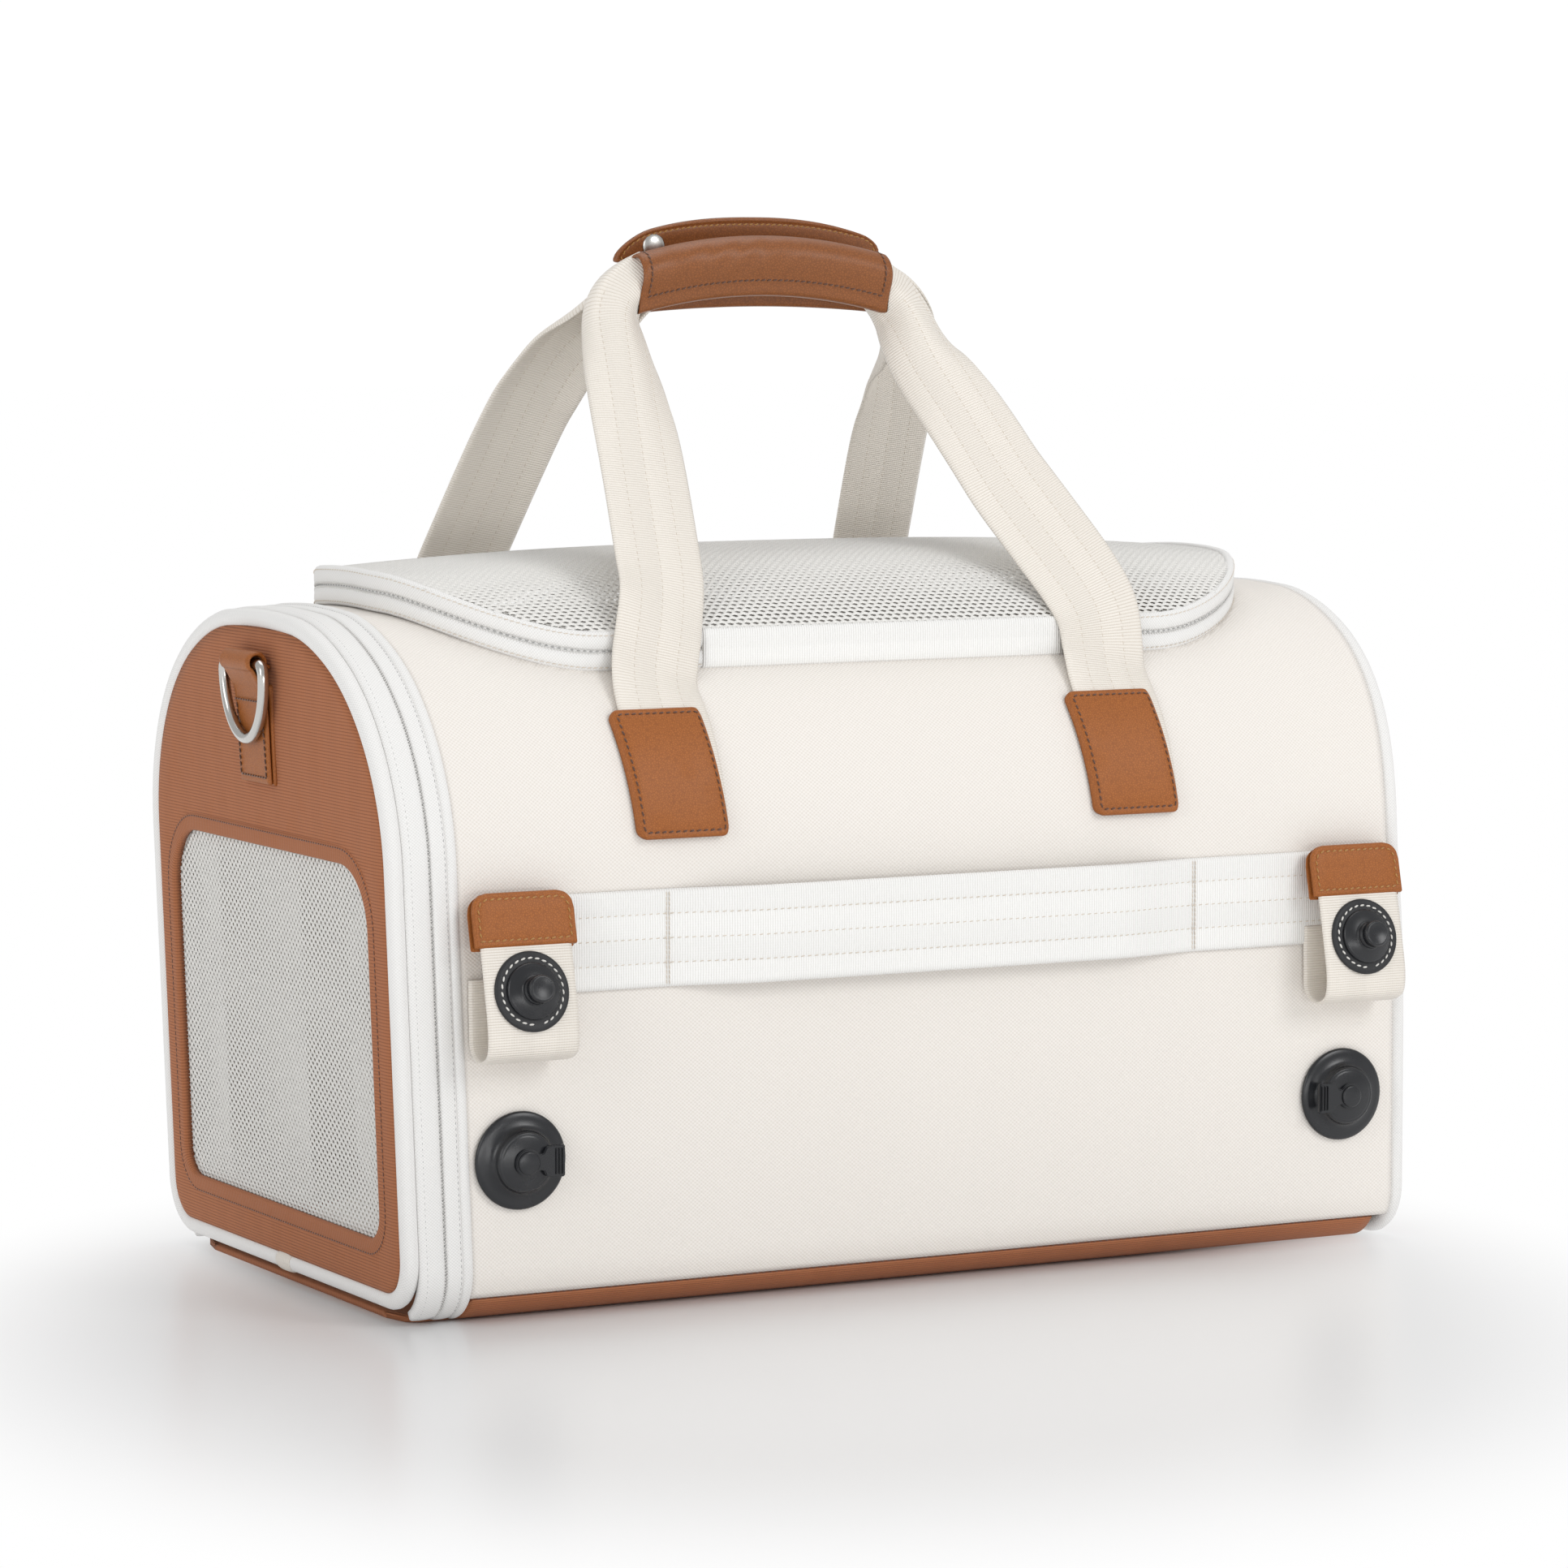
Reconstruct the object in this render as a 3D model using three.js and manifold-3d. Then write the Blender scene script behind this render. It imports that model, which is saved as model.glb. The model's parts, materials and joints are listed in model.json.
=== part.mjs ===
// Soft-sided pet carrier bag, in millimetres, +Z up.
// The origin is on the ground under the middle of the base. X runs along the bag,
// with the zipped door at the -X end. The long side with the webbing band faces -Y.

import * as THREE from 'three';
import { mergeVertices } from 'three/addons/utils/BufferGeometryUtils.js';
import Module from 'manifold-3d';

const wasm = await Module();
wasm.setup();

// ---- driving dimensions -------------------------------------------------------------

// Cross-section of the bag: flat base, upright walls, round shoulders, flat roof.
const HALF_WIDTH = 120;
const HEIGHT = 265;
const SHOULDER_R = 90;
const CORNER_R = 22;
const WALL = 4;
const GAP = 0.4;

// Along the bag.
const SHELL_LEFT = -200;
const SHELL_RIGHT = 218;
const LEAN = THREE.MathUtils.degToRad(2.2);

// Base.
const BASE_THICK = 2.5;
const BASE_LIP_Z = 10;
const BASE_LEFT = -221.6;
const BASE_RIGHT = 212;
const BOARD_Z = [2.9, 5.9];
const MAT_Z = [6.3, 21];
const MAT_X = [-192, 208];
const MAT_HALF_WIDTH = 107;

// Door, hinged along its bottom edge.
const DOOR_X = -222;
const DOOR_Z = 5.5;
const PIPING = 7.3;
const PIPING_X = [-6, 1.4];
const PANEL_X = [-5, -2.4];
const MESH_X = [-2.1, -1];
const DOOR_TAPE_X = [1.8, 10.9];
const BODY_TAPE_X = [11.3, 21.6];
const TAPE_THICK = 4;
const WINDOW = { halfWidth: 98, low: 31, high: 176, topR: 25, bottomR: 12 };
const MESH_LAP = 4;

// D-rings and their leather loops.
const DRING = { wire: 2.2, inside: 35, drop: 24, standOff: 6.2, z: 249 };
const DRING_TAB = { width: 30, thick: 3, low: 201, eyeIn: 2.8, eyeOut: 4.8 };

// Lid on the roof, hinged along its front edge between the front straps.
const LID = { left: -200, right: 193, halfWidth: 86, corner: 72, wall: 4 };
const LID_BAND = { low: GAP, split: 7.9, top: 16 };
const LID_MESH = { low: 13.2, high: 15.4 };
const LID_HINGE_X = [-85, 80];

// Handles. A strap station is [x, y, z, width, thickness]; y is mirrored at the back.
const STRAP = { width: 38, thick: 2 };
const FRONT_STRAPS = {
  left: [[-110.5, -100.2, 234.2], [-110, -93.9, 241], [-107.5, -88.9, 247.8], [-104.5, -88.5, 263],
    [-99, -80, 278], [-94.5, -57, 316], [-91, -39, 347], [-88, -26, 367, 34, 3], [-83, -16, 380, 24, 5]],
  right: [[93.5, -100.2, 234.2], [94, -93.9, 241], [96, -88.9, 247.8], [95, -88.5, 263],
    [89, -80, 278], [69, -57, 316], [57.5, -39, 347], [49.5, -26, 367, 34, 3], [45, -16, 380, 24, 5]],
};
const REAR_STRAPS = {
  left: [[-118.5, -100.2, 234.2], [-118.3, -93.9, 241], [-117.4, -88.9, 247.8], [-116, -88.5, 263],
    [-113.5, -80, 278], [-106, -57, 316], [-100, -39, 347], [-93, -26, 367, 34, 3], [-83, -12, 386, 24, 4]],
  right: [[87, -100.2, 234.2], [86.7, -93.9, 241], [85, -88.9, 247.8], [82.5, -88.5, 263],
    [80, -80, 278], [74.5, -57, 316], [70, -39, 347], [64, -26, 367, 34, 3], [55, -12, 386, 24, 4]],
};
const PATCH = { width: 40, low: 183, high: 230.5, lift: GAP, thick: 3 };
const FRONT_GRIP = { x: [-76, 38], y: -10, z: 396, rise: 5, halfY: 8.5, halfZ: 13.5 };
const REAR_GRIP = { x: [-73, 45], y: 4.2, z: 394, rise: 3, halfY: 4.4, halfZ: 11.4 };
const FLAP = { x: [-74, 46], y: 11, low: 409.5, high: 422, thick: 2.4, corner: 9 };
const SNAP = { x: -58, z: 414, radius: 4.6, thick: 1.4 };

// Webbing band across the front, sewn flat at its ends and free behind its middle.
const BAND = { low: 126, high: 164, thick: 1.7, bow: 6.2 };
const BAND_X = [-196, -118, -92, -40, 42, 94, 120, 206];
const BAND_BOW = [0, 0, 0.8, 1, 1, 0.8, 0, 0];

// Stud loops: a webbing strap folded up against the wall, and the socket below it.
const LOOP_X = { left: -183.5, right: 192 };
const LOOP = { width: 38, thick: 1.7, front: -139.5, back: -121.4, foldZ: 112, topY: -127, topZ: 165 };
const LOOP_TAB = { width: 43, low: 35, high: 56, thick: 4.9, corner: 8 };
const STUD = { along: 17.5, patchR: 15.5, patchThick: 1.6 };
const SOCKET = { z: 63, hub: 7.4, hole: 5.2 };
const SOCKET_X = { left: -181, right: 192 };

// Zip sliders.
const LID_SLIDER_X = { left: -27, right: -3 };
const DOOR_SLIDER_Z = 40;
const SLIDER = { long: 10, wide: 9, high: 4.6 };
const PULL = { long: 25, wide: 7.5, thick: 1.8 };
const PULL_Y = 3.6;

const ARC_STEPS = 10;
const CORNER_STEPS = 4;
const PLAN_STEPS = 9;

// ---- materials ----------------------------------------------------------------------

function finish(color, roughness, metalness = 0) {
  return new THREE.MeshStandardMaterial({ color, roughness, metalness });
}

const cream = finish(0xefeae3, 0.85);
const tanFabric = finish(0x9c684f, 0.9);
const leather = finish(0xa76d48, 0.5);
const webbing = finish(0xefe9dc, 0.55);
const zipTape = finish(0xe9e8e4, 0.8);
const meshFabric = finish(0xd6d5cf, 0.85);
const board = finish(0x33302d, 0.7);
const fleece = finish(0xe6ddd0, 0.95);
const foam = finish(0xd8d4cc, 0.95);
const blackPlastic = finish(0x2b2d33, 0.45);
const blackLeather = finish(0x1d1e22, 0.6);
const nickel = finish(0xb4b6b2, 0.3, 1);

// ---- scene graph --------------------------------------------------------------------

const bag = new THREE.Group();

function add(name, geometry, material, parent = bag) {
  const mesh = new THREE.Mesh(geometry, material);
  mesh.name = name;
  parent.add(mesh);
  return mesh;
}

// ---- outlines -----------------------------------------------------------------------

const ROOF_HALF = HALF_WIDTH - SHOULDER_R;
const SHOULDER_Z = HEIGHT - SHOULDER_R;

/** Height of the outer roof and shoulder surface at a distance y from the middle. */
function roofZ(y) {
  const beyond = Math.max(Math.abs(y) - ROOF_HALF, 0);
  return SHOULDER_Z + Math.sqrt(SHOULDER_R ** 2 - beyond ** 2);
}

function arc(cx, cy, radius, from, to, steps) {
  return Array.from({ length: steps + 1 }, (_, i) => {
    const angle = from + (to - from) * (i / steps);
    return new THREE.Vector2(cx + radius * Math.cos(angle), cy + radius * Math.sin(angle));
  });
}

/** Half of the cross-section, from low angle of the bottom corner to the roof's middle. */
function halfProfile(offset, bottom, cornerFrom) {
  const cornerR = CORNER_R + offset;
  const corner = arc(HALF_WIDTH - CORNER_R, bottom + CORNER_R, cornerR, cornerFrom, 0, CORNER_STEPS);
  const shoulder = arc(ROOF_HALF, SHOULDER_Z, SHOULDER_R + offset, 0, Math.PI / 2, ARC_STEPS);
  return [...corner, ...shoulder];
}

function mirrored(points) {
  return points.map((p) => new THREE.Vector2(-p.x, p.y)).reverse();
}

/** The whole closed cross-section, with its bottom at the given height. */
function loopProfile(offset, bottom) {
  const half = halfProfile(offset, bottom, -Math.PI / 2);
  return new THREE.Shape([...half, ...mirrored(half)]);
}

/** A strip of even thickness that follows the cross-section over the roof. */
function archStrip(inner, outer, cornerFrom) {
  const outside = halfProfile(outer, 0, cornerFrom);
  const inside = halfProfile(inner, 0, cornerFrom);
  const back = [...mirrored(inside).reverse(), ...inside.reverse()];
  return new THREE.Shape([...outside, ...mirrored(outside), ...back]);
}

/** A strip on one shoulder or wall, between two heights. side is +1 or -1. */
function wallStrip(inner, outer, low, high, side) {
  const from = Math.asin((low - SHOULDER_Z) / SHOULDER_R);
  const to = Math.asin((high - SHOULDER_Z) / SHOULDER_R);
  const outside = arc(ROOF_HALF, SHOULDER_Z, SHOULDER_R + outer, from, to, CORNER_STEPS);
  const inside = arc(ROOF_HALF, SHOULDER_Z, SHOULDER_R + inner, to, from, CORNER_STEPS);
  const points = [...outside, ...inside];
  return new THREE.Shape(points.map((p) => new THREE.Vector2(side * p.x, p.y)));
}

/** A rectangle with its own radius at the top and bottom corners. */
function roundedRect(left, right, low, high, topR, bottomR) {
  const quarter = Math.PI / 2;
  return new THREE.Shape([
    ...arc(right - bottomR, low + bottomR, bottomR, -quarter, 0, CORNER_STEPS),
    ...arc(right - topR, high - topR, topR, 0, quarter, CORNER_STEPS),
    ...arc(left + topR, high - topR, topR, quarter, 2 * quarter, CORNER_STEPS),
    ...arc(left + bottomR, low + bottomR, bottomR, 2 * quarter, 3 * quarter, CORNER_STEPS),
  ]);
}

// ---- solids -------------------------------------------------------------------------

const X = new THREE.Vector3(1, 0, 0);
const Y = new THREE.Vector3(0, 1, 0);
const Z = new THREE.Vector3(0, 0, 1);

function extruded(shape, depth, basis) {
  const geometry = new THREE.ExtrudeGeometry(shape, { depth, bevelEnabled: false, curveSegments: ARC_STEPS });
  return geometry.applyMatrix4(basis);
}

/** A (y, z) outline extruded from x0 to x1. */
function alongX(shape, x0, x1) {
  const basis = new THREE.Matrix4().makeBasis(Y, Z, X).setPosition(x0, 0, 0);
  return extruded(shape, x1 - x0, basis);
}

/** An (x, z) outline extruded from y0 to y1. */
function alongY(shape, y0, y1) {
  const basis = new THREE.Matrix4().makeBasis(X, Z, Y.clone().negate()).setPosition(0, y1, 0);
  return extruded(shape, y1 - y0, basis);
}

/** An (x, y) outline extruded from z0 to z1. */
function alongZ(shape, z0, z1) {
  return extruded(shape, z1 - z0, new THREE.Matrix4().setPosition(0, 0, z0));
}

/** A closed solid through rings of equal point count, ring after ring. */
function loft(rings) {
  const size = rings[0].length;
  const last = (rings.length - 1) * size;
  const index = [];
  for (let r = 0; r < rings.length - 1; r++) {
    for (let i = 0; i < size; i++) {
      const a = r * size + i;
      const b = r * size + ((i + 1) % size);
      index.push(a, b, b + size, a, b + size, a + size);
    }
  }
  for (let i = 1; i < size - 1; i++) {
    index.push(0, i + 1, i);
    index.push(last, last + i, last + i + 1);
  }
  return outward(rings.flat(), index);
}

/** A geometry from points and triangles, turned round if its faces point inward. */
function outward(points, index) {
  const geometry = new THREE.BufferGeometry();
  const coordinates = points.flatMap((p) => p.toArray());
  geometry.setAttribute('position', new THREE.Float32BufferAttribute(coordinates, 3));
  geometry.setIndex(signedVolume(points, index) < 0 ? index.reverse() : index);
  return geometry;
}

function signedVolume(points, index) {
  let sum = 0;
  for (let i = 0; i < index.length; i += 3) {
    const [a, b, c] = [points[index[i]], points[index[i + 1]], points[index[i + 2]]];
    sum += a.dot(new THREE.Vector3().crossVectors(b, c));
  }
  return sum;
}

function toManifold(geometry) {
  const bare = geometry.clone();
  bare.deleteAttribute('normal');
  bare.deleteAttribute('uv');
  const merged = mergeVertices(bare, 1e-4);
  const vertProperties = new Float32Array(merged.attributes.position.array);
  const triVerts = new Uint32Array(merged.index.array);
  return new wasm.Manifold(new wasm.Mesh({ numProp: 3, vertProperties, triVerts }));
}

function toGeometry(manifold) {
  const mesh = manifold.getMesh();
  const geometry = new THREE.BufferGeometry();
  geometry.setAttribute('position', new THREE.Float32BufferAttribute(mesh.vertProperties, 3));
  geometry.setIndex(Array.from(mesh.triVerts));
  return geometry;
}

function subtract(a, b) {
  return toGeometry(toManifold(a).subtract(toManifold(b)));
}

function intersect(a, b) {
  return toGeometry(toManifold(a).intersect(toManifold(b)));
}

function unite(...parts) {
  return toGeometry(parts.map(toManifold).reduce((sum, next) => sum.add(next)));
}

// ---- shell and base -----------------------------------------------------------------

/** Plan outline of the lid, moved inward by inset. */
function lidPlan(inset) {
  const r = LID.corner - inset;
  const quarter = Math.PI / 2;
  const [left, right] = [LID.left + LID.corner, LID.right - LID.corner];
  const back = LID.halfWidth - LID.corner;
  return [
    ...arc(right, -back, r, -quarter, 0, PLAN_STEPS),
    ...arc(right, back, r, 0, quarter, PLAN_STEPS),
    ...arc(left, back, r, quarter, 2 * quarter, PLAN_STEPS),
    ...arc(left, -back, r, 2 * quarter, 3 * quarter, PLAN_STEPS),
  ];
}

/** Moves the door end of a solid along the door's outward lean. */
function leanDoorEnd(geometry, nearX) {
  const position = geometry.attributes.position;
  for (let i = 0; i < position.count; i++) {
    if (position.getX(i) < nearX) {
      const drop = (position.getZ(i) - DOOR_Z) * Math.tan(LEAN);
      position.setX(i, position.getX(i) - drop);
    }
  }
  return geometry;
}

function shellHalf(side) {
  const cornerFrom = Math.asin((BASE_LIP_Z + GAP - CORNER_R) / CORNER_R);
  const seam = 0.15;
  const tube = alongX(archStrip(-WALL, 0, cornerFrom), SHELL_LEFT, SHELL_RIGHT);
  const whole = leanDoorEnd(tube, SHELL_LEFT + 1);
  const opening = alongZ(new THREE.Shape(lidPlan(LID.wall)), SHOULDER_Z, HEIGHT + 20);
  const halfBox = new THREE.BoxGeometry(600, 200, 600).translate(0, side * (100 + seam), 0);
  return intersect(subtract(whole, opening), halfBox);
}

add('shell_front', shellHalf(-1), cream);
add('shell_rear', shellHalf(1), cream);

function basePanel() {
  const cornerFrom = Math.asin((BASE_LIP_Z - CORNER_R) / CORNER_R);
  const centre = HALF_WIDTH - CORNER_R;
  const outside = arc(centre, CORNER_R, CORNER_R, -Math.PI / 2, cornerFrom, CORNER_STEPS);
  const inside = arc(centre, CORNER_R, CORNER_R - BASE_THICK, cornerFrom, -Math.PI / 2, CORNER_STEPS);
  const half = [...outside, ...inside];
  const tray = new THREE.Shape([...half, ...mirrored(half)]);
  const tongueHalf = centre - 1;
  const tongue = new THREE.BoxGeometry(40, 2 * tongueHalf, BASE_THICK);
  tongue.translate(BASE_LEFT + 20, 0, BASE_THICK / 2);
  return unite(alongX(tray, SHELL_LEFT + 1.5, BASE_RIGHT), tongue);
}

add('base_panel', basePanel(), tanFabric);

function flatSlab(x, halfWidth, z, corner) {
  return alongZ(roundedRect(x[0], x[1], -halfWidth, halfWidth, corner, corner), z[0], z[1]);
}

add('base_board', flatSlab([-196, 210], 96, BOARD_Z, 12), board);
add('cushion_mat', flatSlab(MAT_X, MAT_HALF_WIDTH, MAT_Z, 15), fleece);

for (const [name, side] of [['front', -1], ['rear', 1]]) {
  const sheet = roundedRect(-188, 206, 30, 170, 10, 10);
  const inner = HALF_WIDTH - WALL - GAP;
  const [y0, y1] = [inner - 2.4, inner].map((y) => side * y).sort((a, b) => a - b);
  add(`${name}_stiffener`, alongY(sheet, y0, y1), foam);
}

// ---- end panels and the door --------------------------------------------------------

function pipingRing(bottom, x) {
  const shape = loopProfile(0, bottom);
  shape.holes.push(loopProfile(-PIPING, bottom));
  return alongX(shape, x[0], x[1]);
}

function windowShape(grow) {
  const w = WINDOW.halfWidth + grow;
  return roundedRect(-w, w, WINDOW.low - grow, WINDOW.high + grow, WINDOW.topR + grow, WINDOW.bottomR + grow);
}

function framedPanel(bottom, x) {
  const shape = loopProfile(-PIPING - GAP, bottom);
  shape.holes.push(windowShape(0));
  return alongX(shape, x[0], x[1]);
}

// The fixed end, opposite the door, faces +X.
add('end_piping', pipingRing(0.4, [SHELL_RIGHT + GAP, SHELL_RIGHT + GAP + 7.4]), zipTape);
add('end_panel', framedPanel(0.4, [SHELL_RIGHT + 3.8, SHELL_RIGHT + 6.4]), tanFabric);
add('end_mesh', alongX(windowShape(MESH_LAP), SHELL_RIGHT + 2.2, SHELL_RIGHT + 3.4), meshFabric);

// The door frame leans outward, so the door and its zip share one tilted group.
const doorFrame = new THREE.Group();
doorFrame.position.set(DOOR_X, 0, DOOR_Z);
doorFrame.rotation.y = -LEAN;
bag.add(doorFrame);

/** Adds a piece drawn in the bag's height to the tilted door frame. */
function addToDoor(name, geometry, material) {
  return add(name, geometry.translate(0, 0, -DOOR_Z), material, doorFrame);
}

const DOOR_BOTTOM = DOOR_Z + 0.2;
addToDoor('door_piping', pipingRing(DOOR_BOTTOM, PIPING_X), zipTape);
addToDoor('door_panel', framedPanel(DOOR_BOTTOM, PANEL_X), tanFabric);
addToDoor('door_mesh', alongX(windowShape(MESH_LAP), MESH_X[0], MESH_X[1]), meshFabric);

// The door's half of the zip stops above the hinge; the bag's half runs on under the corner.
const doorTapeFrom = Math.asin((DOOR_Z + 1.5 - CORNER_R) / CORNER_R);
const bodyTapeFrom = THREE.MathUtils.degToRad(-83);
addToDoor('door_zip_ring', alongX(archStrip(-TAPE_THICK, 0, doorTapeFrom), ...DOOR_TAPE_X), zipTape);
addToDoor('body_zip_ring', alongX(archStrip(-TAPE_THICK, 0, bodyTapeFrom), ...BODY_TAPE_X), zipTape);

// Short wrap that covers the join of the door piping, at the middle of its lower edge.
const joinWrap = new THREE.BoxGeometry(1.2, 10, PIPING);
joinWrap.translate(PIPING_X[0] - 1, 0, DOOR_BOTTOM + PIPING / 2);
addToDoor('piping_join', joinWrap, webbing);

// ---- D-rings ------------------------------------------------------------------------

/** Side outline, (x, z), of the leather loop; x grows away from the panel. */
function dringTab() {
  const { thick, low, eyeIn, eyeOut, width } = DRING_TAB;
  const eyeX = DRING.standOff;
  const strip = new THREE.Shape([
    new THREE.Vector2(0, low),
    new THREE.Vector2(thick, low),
    new THREE.Vector2(thick, DRING.z - eyeOut),
    new THREE.Vector2(eyeX, DRING.z - eyeIn - 1),
    new THREE.Vector2(eyeX, DRING.z + eyeIn + 1),
    new THREE.Vector2(0, DRING.z),
  ]);
  const half = width / 2;
  const eye = new THREE.CylinderGeometry(eyeOut, eyeOut, width, 16).translate(eyeX, 0, DRING.z);
  const bore = new THREE.CylinderGeometry(eyeIn, eyeIn, width + 2, 16).translate(eyeX, 0, DRING.z);
  return subtract(unite(alongY(strip, -half, half), eye), bore);
}

/** The ring: a straight bar inside the leather eye and a bow that hangs below it. */
function dring() {
  const half = DRING.inside / 2 + DRING.wire;
  const round = 12;
  const path = [
    ...arc(half - 4, DRING.z - 4, 4, Math.PI / 2, 0, 2),
    ...arc(0, DRING.z - DRING.drop + half - 6, half, -0.25, -Math.PI + 0.25, round),
    ...arc(-half + 4, DRING.z - 4, 4, Math.PI, Math.PI / 2, 2),
  ];
  const rings = path.map((p, i) => {
    const before = path[(i + path.length - 1) % path.length];
    const after = path[(i + 1) % path.length];
    const across = new THREE.Vector2(after.y - before.y, before.x - after.x).normalize();
    return arc(0, 0, DRING.wire, 0, (Math.PI * 7) / 4, 7).map((s) => {
      return new THREE.Vector3(DRING.standOff + s.y, p.x + across.x * s.x, p.y + across.y * s.x);
    });
  });
  return closedTube(rings);
}

/** A tube through rings that meets its own start. */
function closedTube(rings) {
  const size = rings[0].length;
  const points = rings.flat();
  const index = [];
  for (let r = 0; r < rings.length; r++) {
    const next = ((r + 1) % rings.length) * size;
    for (let i = 0; i < size; i++) {
      const j = (i + 1) % size;
      index.push(r * size + i, r * size + j, next + j, r * size + i, next + j, next + i);
    }
  }
  return outward(points, index);
}

const doorFace = new THREE.Group();
doorFace.position.set(PANEL_X[0] - GAP, 0, -DOOR_Z);
doorFace.rotation.z = Math.PI;
doorFrame.add(doorFace);
add('dring_tab_left', dringTab(), leather, doorFace);
add('dring_left', dring(), nickel, doorFace);

const endFace = new THREE.Group();
endFace.position.set(SHELL_RIGHT + 6.4 + GAP, 0, 0);
bag.add(endFace);
add('dring_tab_right', dringTab(), leather, endFace);
add('dring_right', dring(), nickel, endFace);

// ---- lid ----------------------------------------------------------------------------

/** Plan path of the lid zip, from one end of the fabric hinge round to the other. */
function zipPath(inset) {
  const front = -LID.halfWidth + inset;
  const start = new THREE.Vector2(LID_HINGE_X[1], front);
  const end = new THREE.Vector2(LID_HINGE_X[0], front);
  return [start, ...lidPlan(inset), end];
}

/** A wall that stands on the roof surface, between two heights above it. */
function standingWall(outerPath, innerPath, low, high) {
  const at = (p, height) => new THREE.Vector3(p.x, p.y, roofZ(p.y) + height);
  return loft(outerPath.map((outer, i) => {
    const inner = innerPath[i];
    return [at(outer, low), at(outer, high), at(inner, high), at(inner, low)];
  }));
}

const zipOuter = zipPath(0);
const zipInner = zipPath(LID.wall);
add('lid_zip_band_body', standingWall(zipOuter, zipInner, LID_BAND.low, LID_BAND.split), zipTape);
add('lid_zip_band', standingWall(zipOuter, zipInner, LID_BAND.split + GAP, LID_BAND.top), zipTape);

const hingeLine = (y) => [LID_HINGE_X[0] + GAP, LID_HINGE_X[1] - GAP].map((x) => new THREE.Vector2(x, y));
const stripInner = hingeLine(-LID.halfWidth + 2);
const stripOuter = hingeLine(-LID.halfWidth);
add('lid_hinge_strip', standingWall(stripOuter, stripInner, LID_BAND.low, LID_BAND.top), webbing);

function lidMesh() {
  const steps = 16;
  const reach = LID.halfWidth;
  const ys = Array.from({ length: steps + 1 }, (_, i) => reach * (1 - (2 * i) / steps));
  const top = ys.map((y) => new THREE.Vector2(y, roofZ(y) + LID_MESH.high));
  const under = ys.map((y) => new THREE.Vector2(y, roofZ(y) + LID_MESH.low)).reverse();
  const slab = alongX(new THREE.Shape([...top, ...under]), LID.left, LID.right);
  const plan = new THREE.Shape(lidPlan(LID.wall + GAP));
  return intersect(slab, alongZ(plan, SHOULDER_Z, HEIGHT + 40));
}

add('lid_mesh', lidMesh(), meshFabric);

// ---- handles ------------------------------------------------------------------------

/** A flat webbing strap through its stations; flip is -1 for the back of the bag. */
function strap(stations, flip) {
  const centres = stations.map(([x, y, z]) => new THREE.Vector3(x, flip * y, z));
  return loft(stations.map(([, , , width = STRAP.width, thick = STRAP.thick], i) => {
    const before = centres[Math.max(i - 1, 0)];
    const after = centres[Math.min(i + 1, centres.length - 1)];
    const along = after.clone().sub(before).normalize();
    const across = X.clone().addScaledVector(along, -X.dot(along)).normalize();
    const out = new THREE.Vector3().crossVectors(across, along);
    return [[-1, -1], [1, -1], [1, 1], [-1, 1]].map(([a, b]) => {
      const corner = centres[i].clone().addScaledVector(across, (a * width) / 2);
      return corner.addScaledVector(out, (b * thick) / 2);
    });
  }));
}

/** A rolled grip with an oval section, bowed upward between its ends. */
function grip({ x, y, z, rise, halfY, halfZ }) {
  const steps = 8;
  const rings = Array.from({ length: steps + 1 }, (_, i) => {
    const t = (2 * i) / steps - 1;
    const station = x[0] + ((x[1] - x[0]) * i) / steps;
    const centreZ = z + rise * (1 - t * t);
    return arc(0, 0, 1, 0, (Math.PI * 11) / 6, 11).map((p) => {
      return new THREE.Vector3(station, y + p.x * halfY, centreZ + p.y * halfZ);
    });
  });
  return loft(rings);
}

for (const [name, straps, flip] of [['front', FRONT_STRAPS, 1], ['rear', REAR_STRAPS, -1]]) {
  for (const side of ['left', 'right']) {
    const stations = straps[side];
    const patchX = stations[0][0];
    const shape = wallStrip(PATCH.lift, PATCH.lift + PATCH.thick, PATCH.low, PATCH.high, -flip);
    add(`${name}_strap_${side}`, strap(stations, flip), webbing);
    add(`${name}_patch_${side}`, alongX(shape, patchX - PATCH.width / 2, patchX + PATCH.width / 2), leather);
  }
}

add('front_grip', grip(FRONT_GRIP), leather);
add('rear_grip', grip(REAR_GRIP), leather);

const flapShape = roundedRect(FLAP.x[0], FLAP.x[1], FLAP.low, FLAP.high, FLAP.corner, 1);
add('grip_flap', alongY(flapShape, FLAP.y - FLAP.thick / 2, FLAP.y + FLAP.thick / 2), leather);

const snap = new THREE.CylinderGeometry(SNAP.radius - 0.8, SNAP.radius, SNAP.thick, 16);
snap.rotateX(Math.PI);
snap.translate(SNAP.x, FLAP.y - FLAP.thick / 2 - SNAP.thick / 2 - 0.1, SNAP.z);
add('flap_snap', snap, nickel);

// ---- webbing band and stud loops ----------------------------------------------------

function bandShape() {
  const face = -HALF_WIDTH - GAP;
  const inner = BAND_X.map((x, i) => new THREE.Vector2(x, face - BAND.bow * BAND_BOW[i]));
  const outer = inner.map((p) => new THREE.Vector2(p.x, p.y - BAND.thick)).reverse();
  return new THREE.Shape([...inner, ...outer]);
}

add('trolley_band', alongZ(bandShape(), BAND.low, BAND.high), webbing);

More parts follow.
